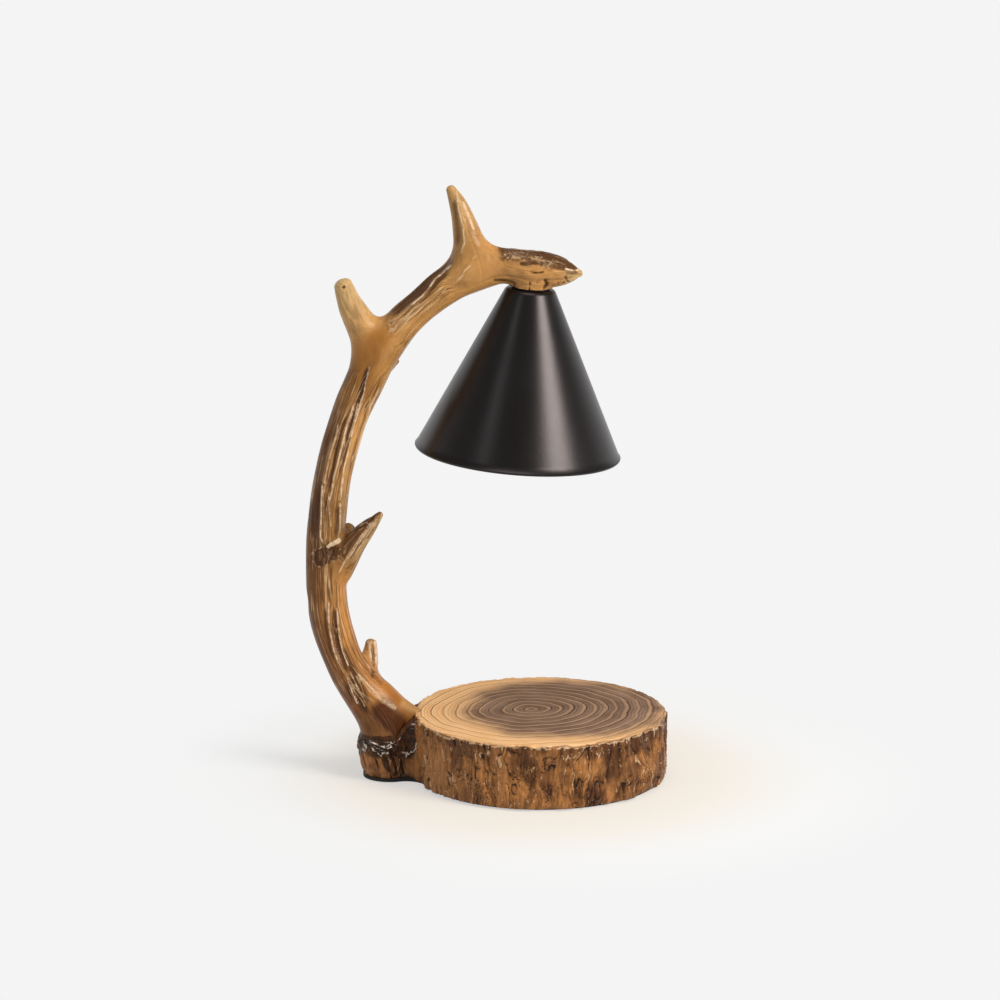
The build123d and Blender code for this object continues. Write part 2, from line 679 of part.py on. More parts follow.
def shade():
    """Spun cone with a flat top, rounded shoulder and a bead turned in at the rim."""
    slant = math.hypot(SHADE_RIM_RADIUS - SHADE_TOP_RADIUS, SHADE_HEIGHT) / SHADE_HEIGHT
    side_wall = SHADE_WALL * slant
    hole = NIPPLE_RADIUS + SLIP
    profile = Polyline(
        (hole, 0),
        (SHADE_TOP_RADIUS, 0),
        (SHADE_RIM_RADIUS, -SHADE_HEIGHT),
        (SHADE_RIM_RADIUS - side_wall, -SHADE_HEIGHT),
        (cone_radius(-SHADE_WALL) - side_wall, -SHADE_WALL),
        (hole, -SHADE_WALL),
        close=True,
    )
    face = make_face(profile)
    outer = face.vertices().sort_by_distance((SHADE_TOP_RADIUS, 0, 0))[0]
    face = fillet(outer, SHADE_SHOULDER)
    inner_place = (cone_radius(-SHADE_WALL) - side_wall, -SHADE_WALL, 0)
    inner = face.vertices().sort_by_distance(inner_place)[0]
    face = fillet(inner, SHADE_SHOULDER - SHADE_WALL)
    bead_place = (SHADE_RIM_RADIUS - RIM_BEAD, -SHADE_HEIGHT + RIM_BEAD)
    face += Pos(*bead_place) * Circle(RIM_BEAD)
    return on_shade_axis(revolve(Plane.XZ * face, Axis.Z))


def shade_gasket():
    """Rubber washer between the arm's boss and the shade."""
    return on_shade_axis(ring(GASKET_RADIUS, NIPPLE_RADIUS + SLIP, 0, GASKET_THICKNESS))


def brass_insert():
    """Knurled bush cast into the boss, threaded for the nipple."""
    bush = ring(INSERT_RADIUS - 0.5, NIPPLE_RADIUS + HOLE_GAP, GASKET_THICKNESS, NIPPLE_TOP)
    low, high = GASKET_THICKNESS + 0.8, NIPPLE_TOP - 0.8
    knurl = ring(INSERT_RADIUS, NIPPLE_RADIUS + HOLE_GAP, low, high)
    for i in range(20):
        knurl -= Rot(0, 0, 18 * i) * disc(0.5, low - 1, high + 1, INSERT_RADIUS + 0.1)
    return on_shade_axis(bush + knurl)


def nipple():
    """Hollow threaded tube that carries shade and holder."""
    return on_shade_axis(ring(NIPPLE_RADIUS, NIPPLE_BORE, NIPPLE_END, NIPPLE_TOP))


def tooth_washer():
    """Spring washer with outer teeth."""
    high = -SHADE_WALL
    washer = ring(TOOTH_WASHER_RADIUS, NIPPLE_RADIUS + SLIP, high - WASHER_THICKNESS, high)
    for i in range(12):
        washer -= Rot(0, 0, 30 * i) * Pos(TOOTH_WASHER_RADIUS, 0, high) * Box(2.8, 1.6, 4)
    return on_shade_axis(washer)


def shade_nut():
    """Nut that clamps the shade to the boss."""
    high = -(SHADE_WALL + WASHER_THICKNESS)
    return on_shade_axis(hex_nut(NUT_FLATS, NIPPLE_RADIUS + HOLE_GAP, high - NUT_HEIGHT, high))


def bracket_nut():
    """Nut that clamps the holder's bracket."""
    high = BRACKET_WEB_TOP - BRACKET_SHEET
    return on_shade_axis(hex_nut(NUT_FLATS, NIPPLE_RADIUS + HOLE_GAP, high - NUT_HEIGHT, high))


def holder_bracket():
    """Strap bent to a square loop: web on the nipple, two legs, two feet on the holder's back."""
    half = BRACKET_SPAN / 2
    foot = HOLDER_SCREW_PLACE - BRACKET_FOOT
    sheet = BRACKET_SHEET
    outline = Polyline(
        (foot, HOLDER_BACK),
        (half, HOLDER_BACK),
        (half, BRACKET_WEB_TOP),
        (-half, BRACKET_WEB_TOP),
        (-half, HOLDER_BACK),
        (-foot, HOLDER_BACK),
        (-foot, HOLDER_BACK + sheet),
        (-half + sheet, HOLDER_BACK + sheet),
        (-half + sheet, BRACKET_WEB_TOP - sheet),
        (half - sheet, BRACKET_WEB_TOP - sheet),
        (half - sheet, HOLDER_BACK + sheet),
        (foot, HOLDER_BACK + sheet),
        close=True,
    )
    strap = extrude(Plane.XZ * make_face(outline), BRACKET_WIDTH / 2, both=True)
    bends = [e for e in strap.edges().filter_by(Axis.Y) if abs(abs(e.center().X) - half) < 0.01]
    strap = fillet(bends, sheet)
    strap -= disc(NIPPLE_RADIUS + SLIP, BRACKET_WEB_TOP - 5, BRACKET_WEB_TOP + 1)
    for side in (-1, 1):
        x = side * HOLDER_SCREW_PLACE
        strap -= disc(SCREW_RADIUS + HOLE_GAP, HOLDER_BACK - 1, HOLDER_BACK + 4, x)
    return on_shade_axis(strap)


def keyhole(width, low, high):
    """The two arcs that the pins travel along, cut between two heights."""
    start = 90 - TWIST_ANGLE
    cut = []
    for turn in (0, 180):
        arc = CenterArc((0, 0), HALF_PITCH, start + turn, TWIST_ANGLE)
        cut.append(Pos(0, 0, low) * extrude(SlotArc(arc, width), high - low))
    return cut


def lamp_holder():
    """Ceramic holder: round body with keyhole slots, an undercut channel and screw holes."""
    body = disc(HOLDER_RADIUS, HOLDER_FACE, HOLDER_BACK)
    body = chamfer(body.edges().group_by(Axis.Z)[-1], 1.2)
    body = fillet(body.edges().group_by(Axis.Z)[0], 0.8)
    head_slot = 2 * (PIN_HEAD_RADIUS + CLEAR)
    shank_slot = 2 * (PIN_RADIUS + CLEAR)
    for cut in keyhole(head_slot, CHANNEL_FLOOR, CHANNEL_ROOF):
        body -= cut
    for cut in keyhole(shank_slot, HOLDER_FACE - 1, CHANNEL_FLOOR + 1):
        body -= cut
    entry = math.radians(90 - TWIST_ANGLE)
    for side in (-1, 1):
        x, y = side * HALF_PITCH * math.cos(entry), side * HALF_PITCH * math.sin(entry)
        body -= disc(PIN_HEAD_RADIUS + ENTRY_GAP, HOLDER_FACE - 1, CHANNEL_FLOOR + 1, x, y)
        post = CONTACT_POST_RADIUS + HOLE_GAP
        body -= disc(post, CHANNEL_ROOF - 1, HOLDER_BACK + 1, 0, side * HALF_PITCH)
        screw = side * HOLDER_SCREW_PLACE
        sink = HOLDER_FACE + HOLDER_SCREW_SINK
        body -= disc(SCREW_RADIUS + SLIP, HOLDER_FACE - 1, HOLDER_BACK + 1, screw)
        body -= disc(HOLDER_SCREW_HEAD + 2 * SLIP, HOLDER_FACE - 1, sink, screw)
    return on_shade_axis(body)


def holder_contacts():
    """Two brass contacts in the channel's roof, each with a post to its lead."""
    contacts = []
    for side in (-1, 1):
        y = side * HALF_PITCH
        blade = disc(PIN_HEAD_RADIUS, CHANNEL_ROOF - 0.7, CHANNEL_ROOF, 0, y)
        post = disc(CONTACT_POST_RADIUS, CHANNEL_ROOF - 0.2, HOLDER_BACK + 2, 0, y)
        contacts.append(on_shade_axis(blade + post))
    return contacts


def holder_screws():
    """Two long screws through the holder into the bracket's feet."""
    screws = []
    for side in (-1, 1):
        x = side * HOLDER_SCREW_PLACE
        sink = HOLDER_FACE + HOLDER_SCREW_SINK
        head = disc(HOLDER_SCREW_HEAD, HOLDER_FACE + 0.6, sink, x)
        shank = disc(SCREW_RADIUS, sink - 0.1, HOLDER_BACK + BRACKET_SHEET + 0.8, x)
        slot = Pos(x, 0, HOLDER_FACE + 0.6) * Box(3.4, 0.7, 1.4)
        screws.append(on_shade_axis(head + shank - slot))
    return screws


# ---- bulb ---------------------------------------------------------------------------------------
def bulb_base():
    """Ceramic base with flats on two sides."""
    low = BULB_SHOULDER - BULB_BASE_LENGTH
    base = disc(BULB_BASE_RADIUS, low, BULB_SHOULDER)
    base = fillet(base.edges().group_by(Axis.Z)[-1], 1.5)
    flats = BULB_BASE_RADIUS - 1.5
    base &= Pos(0, 0, (low + BULB_SHOULDER) / 2) * Box(2 * flats, 60, BULB_BASE_LENGTH + 1)
    for side in (-1, 1):
        base -= disc(PIN_RADIUS, BULB_SHOULDER - PIN_SEAT, BULB_SHOULDER + 1, 0, side * HALF_PITCH)
    return on_shade_axis(base)


def bulb_pins():
    """Two headed pins that lock in the keyhole channel."""
    top = CHANNEL_FLOOR + CLEAR + PIN_HEAD_LENGTH
    pins = []
    for side in (-1, 1):
        y = side * HALF_PITCH
        shank = disc(PIN_RADIUS, BULB_SHOULDER - PIN_SEAT, top - 1, 0, y)
        head = disc(PIN_HEAD_RADIUS, CHANNEL_FLOOR + CLEAR, top, 0, y)
        head = chamfer(head.edges().group_by(Axis.Z)[-1], 0.5)
        pins.append(on_shade_axis(shank + head))
    return pins


def reflector_line(inset):
    """Half profile of the reflector's bowl, from its neck to its rim, set in from the outside."""
    neck = BULB_SHOULDER - BULB_BASE_LENGTH
    depth = neck - BULB_FACE
    return Spline(
        (BULB_BASE_RADIUS - inset, neck),
        (BULB_BASE_RADIUS + 5.4 - inset, neck - 0.22 * depth),
        (BULB_RADIUS - 2.4 - inset, neck - 0.60 * depth),
        (BULB_RADIUS - inset, BULB_FACE + 4.0),
    )


def bulb_reflector():
    """Pressed glass bowl, open at its face, with a straight rim for the lens."""
    outside = reflector_line(0)
    inside = reflector_line(BULB_WALL)
    rim = Polyline(
        outside @ 1,
        (BULB_RADIUS, BULB_FACE),
        (BULB_RADIUS - BULB_WALL, BULB_FACE),
        inside @ 1,
    )
    neck = Line(inside @ 0, outside @ 0)
    face = make_face([*outside.edges(), *rim.edges(), *inside.edges(), *neck.edges()])
    bowl = revolve(Plane.XZ * face, Axis.Z)
    return on_shade_axis(bowl)


def bulb_lens():
    """Slightly domed front glass inside the reflector's rim."""
    radius = BULB_RADIUS - BULB_WALL - HOLE_GAP
    crown = BULB_FACE + 0.2
    curve = radius**2 / (2 * LENS_DOME)
    lens = disc(radius, crown, crown + LENS_DOME + 1.0)
    return on_shade_axis(lens & Pos(0, 0, crown + curve) * Sphere(curve))


def bulb_capsule():
    """Small glass capsule with a pinched foot on the bulb's base."""
    neck = BULB_SHOULDER - BULB_BASE_LENGTH
    glass = disc(4.6, neck - 16, neck - 4)
    glass = fillet(glass.edges().group_by(Axis.Z)[0], 4.0)
    room = disc(3.6, neck - 15, neck - 4.5)
    room = fillet(room.edges().group_by(Axis.Z)[0], 3.0)
    foot = Pos(0, 0, neck - 2.3) * Box(4.0, 8.6, 4.6)
    return on_shade_axis(glass - room + foot)


def bulb_filament():
    """Coiled filament on two legs from the capsule's foot."""
    foot = BULB_SHOULDER - BULB_BASE_LENGTH - 4.6
    low = foot - 6.5
    path = FilletPolyline((0, -2.2, foot), (0, -2.2, low), (0, 2.2, low), (0, 2.2, foot), radius=1.0)
    return on_shade_axis(tube_along(path, 0.35))


# ---- output ---------------------------------------------------------------------------------------
PARTS = {
    "base_slice": base_slice,
    "base_cover": base_cover,
    "base_pad": base_pad,
    "cover_screws": cover_screws,
    "cable_gland": cable_gland,
    "cord_clamp": cord_clamp,
    "clamp_screws": clamp_screws,
    "terminal_block": terminal_block,
    "terminal_tubes": terminal_tubes,
    "terminal_screws": terminal_screws,
    "block_screw": block_screw,
    "antler_arm": antler_arm,
    "conduit_tube": conduit_tube,
    "arm_washer": arm_washer,
    "arm_nut": arm_nut,
    "lead_live": lead_live,
    "lead_neutral": lead_neutral,
    "brass_insert": brass_insert,
    "nipple": nipple,
    "shade_gasket": shade_gasket,
    "shade": shade,
    "tooth_washer": tooth_washer,
    "shade_nut": shade_nut,
    "holder_bracket": holder_bracket,
    "bracket_nut": bracket_nut,
    "lamp_holder": lamp_holder,
    "holder_contacts": holder_contacts,
    "holder_screws": holder_screws,
    "bulb_base": bulb_base,
    "bulb_pins": bulb_pins,
    "bulb_reflector": bulb_reflector,
    "bulb_lens": bulb_lens,
    "bulb_capsule": bulb_capsule,
    "bulb_filament": bulb_filament,
}


def main():
    os.makedirs("parts", exist_ok=True)
    for name, make in PARTS.items():
        shape = make()
        pieces = shape if isinstance(shape, list) else [shape]
        solids = [solid for piece in pieces for solid in piece.solids()]
        body = solids[0] if len(solids) == 1 else Compound(children=solids)
        export_step(body, f"parts/{name}.step")
        print(name, len(solids), round(sum(solid.volume for solid in solids), 1))


main()
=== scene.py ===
"""Candle warmer lamp: its looks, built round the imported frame.

A cast-resin antler stands on a wood slice that keeps its bark, and a spun conical shade with a
twist-lock reflector bulb hangs from the antler's end. The tables hold millimetres. Meshes are
made in metres, in the frame's own axes.
"""

import math

import bpy
import numpy as np
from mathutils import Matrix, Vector


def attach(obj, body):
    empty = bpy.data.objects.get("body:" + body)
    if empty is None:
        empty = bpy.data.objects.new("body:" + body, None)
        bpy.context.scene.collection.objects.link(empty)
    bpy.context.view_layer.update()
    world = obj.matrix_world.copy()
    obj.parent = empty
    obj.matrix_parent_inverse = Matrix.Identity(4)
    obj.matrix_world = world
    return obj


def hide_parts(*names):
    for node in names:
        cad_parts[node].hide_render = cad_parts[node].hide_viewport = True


bl_info = {
    "name": "Candle warmer lamp",
    "version": (1, 0, 0),
    "blender": (4, 5, 0),
    "location": "3D View > Sidebar > Lamp",
    "description": "Builds the antler, the wood slice, the shade, the bulb and the fittings of a candle warmer lamp",
    "category": "Object",
}

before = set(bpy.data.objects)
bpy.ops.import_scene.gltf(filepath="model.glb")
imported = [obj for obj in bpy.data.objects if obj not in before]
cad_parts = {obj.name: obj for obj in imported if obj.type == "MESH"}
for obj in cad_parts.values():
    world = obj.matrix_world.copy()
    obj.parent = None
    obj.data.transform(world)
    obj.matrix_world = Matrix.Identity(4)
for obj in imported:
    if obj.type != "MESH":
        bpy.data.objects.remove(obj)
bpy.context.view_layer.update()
MM = 0.001

# ---- dimensions shared by several pieces, in millimetres -----------------------------------------
FOOT = (-84.0, 26.0)  # X of the arm's foot, height of the stump's top
HANG = (-5.7, 278.2)  # X and height of the middle of the shade's flat top
TILT = math.radians(4.33)  # lean of the shade's axis towards +X
SLICE_RADIUS = 70.2
SLICE_TOP = 37.0
SLICE_UNDERSIDE = 0.8
STUMP_RADIUS = 16.9
STUMP_FILLET = 9.0
SEAT = 1.0  # the gasket's upper face, along the shade's axis
COVER_RADIUS, RECESS_TOP = 58.3, 4.1  # recess for the base cover
PAD_RADIUS, PAD_SEAT, PAD_INSET = 67.3, 2.0, 3.0  # recess for the foam pad
NUT_RECESS = 9.0
LENS_FACE = -78.5  # front of the bulb, along the shade's axis
BULB_RADIUS = 25.0
FAR = 9.0  # stored as the distance to a painted line where none is near

# Beam of the antler: lean, rise, sway, half-width in the arm's plane, half-depth across it
BEAM = [
    (-0.010, -0.030, 0.0, 15.4, 14.0),
    (-0.020, 0.000, 0.0, 15.0, 13.8),
    (-0.076, 0.042, 0.0, 13.9, 13.0),
    (-0.181, 0.089, 0.0, 12.6, 12.0),
    (-0.289, 0.141, -0.5, 11.2, 10.6),
    (-0.379, 0.207, -1.0, 10.9, 10.0),
    (-0.434, 0.282, -1.5, 11.0, 10.0),
    (-0.448, 0.365, -1.5, 11.0, 10.0),
    (-0.441, 0.472, 0.0, 10.6, 9.6),
    (-0.398, 0.571, 1.5, 10.2, 9.3),
    (-0.314, 0.674, 2.0, 10.2, 9.3),
    (-0.182, 0.781, 1.0, 10.7, 9.8),
    (0.038, 0.898, 0.0, 10.2, 9.8),
    (0.265, 0.969, 0.0, 9.4, 9.2),
    (0.520, 1.025, 0.0, 10.3, 9.8),
    (0.774, 1.048, 0.0, 9.7, 10.0),
    (0.996, 1.042, 0.0, 10.0, 11.0),
    (1.161, 1.038, 0.0, 9.2, 10.2),
    (1.275, 1.034, 0.0, 5.9, 6.6),
    (1.345, 1.033, 0.0, 2.2, 2.4),
]

# Tines from root to tip: lean, rise, sway, radius. Then how blunt the tip is and how wide its web is.
TINES = {
    "crown": ([(0.608, 1.047, 0.0, 9.6), (0.567, 1.106, 0.5, 8.1), (0.526, 1.154, 1.0, 6.1),
               (0.481, 1.192, 1.5, 4.4), (0.443, 1.216, 2.0, 2.6)], 0.8, 11.5),
    "brow": ([(-0.108, 0.860, 0.0, 9.6), (-0.189, 0.920, -2.0, 8.9), (-0.261, 0.967, -4.0, 7.2),
              (-0.310, 1.010, -6.0, 5.1)], 0.7, 9.0),
    "front": ([(-0.362, 0.370, 0.0, 8.4), (-0.233, 0.438, -5.0, 6.8), (-0.151, 0.471, -8.5, 5.1),
               (-0.060, 0.505, -13.5, 1.9)], 0.9, 3.5),
    "heel": ([(-0.214, 0.095, 4.0, 5.8), (-0.152, 0.147, 10.5, 4.9), (-0.139, 0.186, 12.0, 3.0)], 0.9, 7.0),
    "back": ([(-0.190, 0.745, 5.0, 6.0), (-0.056, 0.795, 13.0, 3.8), (0.050, 0.821, 19.0, 1.9)], 0.9, 4.0),
    "stub": ([(-0.374, 0.416, 4.0, 5.4), (-0.282, 0.452, 10.5, 3.4)], 0.7, 4.0),
    "toe": ([(-0.060, 0.066, 0.0, 7.4), (0.040, 0.0515, 0.0, 6.0), (0.150, 0.0425, 0.0, 3.9),
             (0.188, 0.0400, 0.0, 3.0)], 0.8, 7.0),
}

CROWN, BROW, FRONT, HEEL, BACK, STUB, TOE = range(1, 8)  # the tines' places in the list of limbs

# Marks on the antler's near side, as X and Z of their course: half-width, strength
ARCH_FLUTE = ([(-84.8, 263.6), (-77.1, 268.6), (-69.5, 275.0), (-61.8, 282.0), (-56.3, 287.6), (-51.4, 293.1),
               (-48.1, 298.7)], 2.4, 1.25)
FLUTES = [
    ([(-114.5, 101.6), (-114.1, 86.6), (-112.0, 75.1), (-108.7, 66.5), (-107.1, 59.5)], 1.5, 1.0),
    ([(-110.3, 79.7), (-108.6, 72.2), (-104.8, 63.6), (-101.5, 56.6), (-98.2, 49.0), (-93.5, 42.0)], 1.4, 0.9),
    ([(-106.4, 60.7), (-102.5, 51.4), (-99.2, 43.3), (-95.9, 37.5)], 1.7, 1.0),
    ([(-109.0, 202.6), (-112.8, 185.9), (-114.5, 177.7), (-118.3, 165.2)], 1.0, 0.65),
    ([(-101.7, 214.2), (-104.6, 203.5), (-106.7, 196.9), (-108.4, 187.6), (-110.4, 176.9)], 1.1, 0.8),
    ([(-113.9, 205.2), (-118.0, 193.5), (-122.2, 182.0), (-125.5, 165.2), (-126.5, 148.5), (-126.5, 134.8)], 2.0, 0.62),
    ([(-94.3, 237.4), (-96.8, 229.1), (-100.1, 217.6), (-101.7, 210.2)], 1.2, 0.9),
    ([(-48.3, 330.3), (-46.4, 317.5), (-45.2, 307.9), (-47.1, 300.3)], 1.7, 0.55),
    ARCH_FLUTE,
    ([(-108.2, 141.6), (-102.0, 146.8), (-95.4, 151.9), (-90.4, 153.6)], 2.0, 1.0),
    ([(-107.2, 128.0), (-102.6, 134.2), (-97.6, 141.6)], 0.8, 0.35),
    ([(-93.4, 57.0), (-93.0, 64.0), (-94.2, 72.0)], 0.9, 0.9),
    ([(-118.0, 120.0), (-117.5, 108.0), (-115.5, 96.0)], 0.8, 0.5),
    ([(-111.5, 196.0), (-113.6, 184.0), (-115.2, 172.0), (-117.6, 162.0)], 0.8, 0.7),
    ([(-120.5, 172.0), (-122.6, 160.0), (-123.0, 148.0)], 1.0, 0.7),
]
# Pale ridge lines: dry-brushed paint, and painted highlights where ridges catch the light, as down the crown tine
CRESTS = [
    ([(-117.3, 103.6), (-117.4, 89.5), (-114.7, 75.1), (-111.5, 66.5)], 0.5, 0.9),
    ([(-112.9, 99.9), (-111.9, 84.3), (-109.7, 74.0), (-106.4, 65.0)], 0.5, 0.9),
    ([(-107.1, 57.8), (-104.5, 50.8), (-101.6, 43.9)], 0.4, 1.0),
    ([(-105.8, 63.0), (-103.6, 57.8), (-101.1, 52.0)], 0.4, 0.8),
    ([(-100.3, 48.0), (-97.6, 42.7)], 0.4, 0.8),
    ([(-120.7, 169.5), (-121.2, 152.7), (-121.7, 140.1), (-119.8, 135.3)], 0.5, 1.0),
    ([(-110.6, 158.7), (-110.9, 144.5), (-112.1, 137.6)], 0.5, 1.0),
    ([(-116.9, 163.0), (-116.6, 154.0), (-116.2, 145.0)], 0.5, 0.7),
    ([(-111.5, 203.7), (-112.8, 196.4), (-114.9, 189.8), (-116.6, 183.3), (-119.8, 168.4)], 0.5, 0.6),
    ([(-102.9, 215.5), (-104.1, 209.3), (-106.0, 204.3), (-108.3, 196.4), (-109.8, 189.8), (-111.7, 181.6),
      (-114.0, 173.7), (-115.7, 162.4), (-117.4, 156.7)], 0.55, 0.9),
    ([(-93.7, 237.3), (-95.4, 230.2), (-97.3, 220.6), (-99.9, 212.4), (-101.8, 205.9), (-103.9, 198.0), (-105.8, 188.4),
      (-108.4, 178.5), (-110.2, 164.1), (-110.4, 158.7)], 0.5, 0.9),
    ([(-88.3, 224.5), (-90.7, 218.9), (-93.9, 212.4), (-95.6, 204.3), (-98.7, 195.4), (-101.2, 186.7), (-103.4, 177.1),
      (-105.2, 166.3)], 0.5, 0.8),
    ([(-100.4, 215.5), (-102.1, 207.6), (-103.3, 202.6), (-105.8, 194.7)], 0.4, 0.7),
    ([(-71.7, 269.5), (-64.8, 275.3), (-57.9, 284.2), (-52.8, 288.7), (-48.4, 292.6)], 0.6, 1.0),
    ([(-46.4, 334.0), (-45.2, 323.8), (-42.7, 313.1), (-41.8, 304.8), (-44.0, 298.3)], 0.6, 0.45),
    ([(-42.7, 327.0), (-39.6, 319.4), (-36.4, 311.1)], 0.8, 0.2),
    ([(12.8, 290.3), (17.0, 289.2), (21.8, 288.8)], 0.7, 1.0),
    ([(-105.5, 128.5), (-101.5, 135.0), (-96.4, 142.9), (-91.4, 151.4)], 0.45, 0.5),
    ([(-103.2, 128.5), (-99.3, 135.0), (-94.2, 143.5), (-89.7, 152.0)], 0.45, 0.4),
    ([(-111.9, 118.5), (-108.3, 126.0), (-102.1, 136.2), (-96.4, 145.2), (-93.1, 150.0)], 0.45, 0.5),
    ([(-118.6, 210.5), (-121.5, 200.0), (-123.5, 190.0), (-125.6, 178.0)], 0.5, 0.5),
    ([(-94.1, 64.0), (-96.1, 75.0)], 0.8, 0.8),
    ([(-91.2, 61.0), (-92.6, 75.0)], 0.8, 0.9),
]
CREVICES = [
    ([(-10.9, 293.3), (-3.8, 294.0), (3.3, 293.3), (9.3, 290.9), (12.2, 290.3)], 1.0, 1.0),
    ([(-5.5, 289.1), (-2.2, 288.6), (1.1, 289.1)], 0.45, 0.9),
    ([(14.6, 291.5), (18.0, 290.3), (21.8, 289.4)], 0.7, 0.9),
    ([(-25.1, 284.0), (-19.1, 283.7), (-14.4, 282.5)], 1.0, 0.6),
    ([(2.2, 284.2), (3.2, 281.6), (1.8, 279.6)], 0.8, 1.0),
    ([(13.3, 285.6), (13.9, 283.6), (15.0, 282.4)], 0.5, 0.9),
    ([(-2.5, 297.0), (4.0, 295.2), (9.5, 293.0)], 0.7, 0.8),
]
# Painted highlights on the stump's glossy collar, drawn as pale strokes, as X and height
COLLAR_HIGHLIGHTS = [
    [(-94.8, 23.9), (-90.7, 21.6), (-85.9, 21.0), (-82.6, 23.9), (-77.6, 26.2)],
    [(-93.7, 19.3), (-91.0, 18.1), (-88.7, 16.4), (-84.3, 18.1)],
    [(-78.1, 18.1), (-75.4, 15.8), (-71.5, 18.7), (-69.8, 23.3), (-69.7, 29.1)],
    [(-84.2, 24.5), (-83.1, 21.6), (-85.4, 19.3)],
    [(-74.2, 32.6), (-69.7, 33.8), (-65.8, 32.6)],
    [(-98.0, 22.0), (-96.0, 19.5), (-96.5, 17.0)],
]
# Pits: X, Z, radius
PITS = [(-118.2, 130.2, 3.2), (-114.8, 132.3, 2.6), (-121.3, 130.2, 2.0), (-107.7, 280.8, 0.9), (9.3, 282.6, 0.55)]

# Courses of the larger patches of relief and paint on the near side
KNOT = [(-121.8, 128.0), (-116.0, 131.3)]
CHIP = [(-117.0, 134.6), (-111.6, 137.4)]
ARCH_BAND = [(-84.0, 258.0), (-78.3, 261.0), (-68.9, 266.0), (-60.7, 272.7), (-52.5, 279.4), (-44.3, 286.7),
             (-37.1, 295.6)]
BOSS_CROWN = [(-19.0, 301.0), (-8.7, 299.9), (0.0, 298.0), (8.2, 295.2), (16.4, 291.2)]
BOSS_PITTED = [(-19.7, 297.6), (-11.5, 297.4), (-0.6, 295.2), (6.0, 293.0)]
BOSS_RED = [(-16.0, 300.5), (-8.7, 299.5), (0.0, 297.6), (8.2, 294.8), (16.4, 291.2)]
NECK_AMBER = [(-89.5, 252.0), (-93.5, 244.0), (-97.0, 234.0), (-98.0, 222.0)]
BEAM_AMBER = [(-102.0, 120.0), (-100.5, 100.0), (-97.0, 80.0), (-92.0, 66.0), (-80.0, 50.0)]
FOOT_AMBER = [(-96.0, 63.5), (-88.6, 55.5), (-82.5, 49.1), (-78.4, 43.0), (-75.0, 39.0)]
# Painted highlight down the glossy foot
FOOT_HIGHLIGHT = [(-101.0, 60.7), (-94.7, 53.7), (-88.6, 46.8), (-81.0, 41.5)]
FOOT_RED = [(-87.5, 40.0), (-82.6, 34.5), (-78.0, 30.0)]
# Painted highlight where the toe meets the slice's rim
TOE_HIGHLIGHT = [(-76.4, 42.6), (-72.0, 39.5), (-67.0, 39.0)]


# ---- number helpers -------------------------------------------------------------------------------
REPEAT = 97  # rows after which the random tables start again
CUBES = 32


def ease(low, high, x):
    """0 up to low, 1 from high on, and 3t^2 - 2t^3 between them."""
    t = np.clip((x - low) / (high - low), 0.0, 1.0)
    return t * t * (3.0 - 2.0 * t)


def bell(x, width):
    """1 at zero, falling as e to the minus square of x over width."""
    return np.exp(-((x / width) ** 2))


def fade(t):
    """6t^5 - 15t^4 + 10t^3, whose slope and curvature are zero at 0 and 1."""
    return t * t * t * (t * (t * 6.0 - 15.0) + 10.0)


def ripple(u, v, around, seed):
    """Random heights 0..1 at whole u and v, blended with fade between them; closes after `around` in u."""
    table = np.random.default_rng(seed).random((around, REPEAT))
    iu, iv = np.floor(u), np.floor(v)
    fu, fv = fade(u - iu), fade(v - iv)
    a, c = iu.astype(int) % around, iv.astype(int) % REPEAT
    b, d = (a + 1) % around, (c + 1) % REPEAT
    low = table[a, c] * (1 - fu) + table[b, c] * fu
    high = table[a, d] * (1 - fu) + table[b, d] * fu
    return low * (1 - fv) + high * fv


def layered(u, v, around, seed, layers=4):
    """Sum of ripples, each twice as fine and about half as high as the one before, scaled to 0..1."""
    total, weight, part = 0.0, 0.0, 1.0
    for i in range(layers):
        k = 2**i
        total = total + part * ripple(u * k, v * k, around * k, seed + 17 * i)
        weight += part
        part *= 0.52
    return total / weight


def lumps(points, size, seed):
    """Random heights 0..1 at the corners of cubes of the given size, blended with fade inside them."""
    table = np.random.default_rng(seed).random((CUBES, CUBES, CUBES))
    q = points / size
    low = np.floor(q)
    f = fade(q - low)
    i = low.astype(int) % CUBES
    corners = ((i, 1 - f), ((i + 1) % CUBES, f))
    total = 0.0
    for cx, wx in corners:
        for cy, wy in corners:
            for cz, wz in corners:
                total = total + table[cx[:, 0], cy[:, 1], cz[:, 2]] * wx[:, 0] * wy[:, 1] * wz[:, 2]
    return total


def plates(u, v, around, seed, spread=0.85):
    """How near the border is, in cells round one jittered point per unit square: second distance less first."""
    rng = np.random.default_rng(seed)
    jitter = (rng.random((around, REPEAT, 2)) - 0.5) * spread + 0.5
    iu, iv = np.floor(u).astype(int), np.floor(v).astype(int)
    first = np.full(u.shape, FAR)
    second = np.full(u.shape, FAR)
    for du in (-1, 0, 1):
        for dv in (-1, 0, 1):
            cu, cv = (iu + du) % around, (iv + dv) % REPEAT
            d = np.hypot(iu + du + jitter[cu, cv, 0] - u, iv + dv + jitter[cu, cv, 1] - v)
            second = np.where(d < first, first, np.minimum(second, d))
            first = np.minimum(first, d)
    return second - first


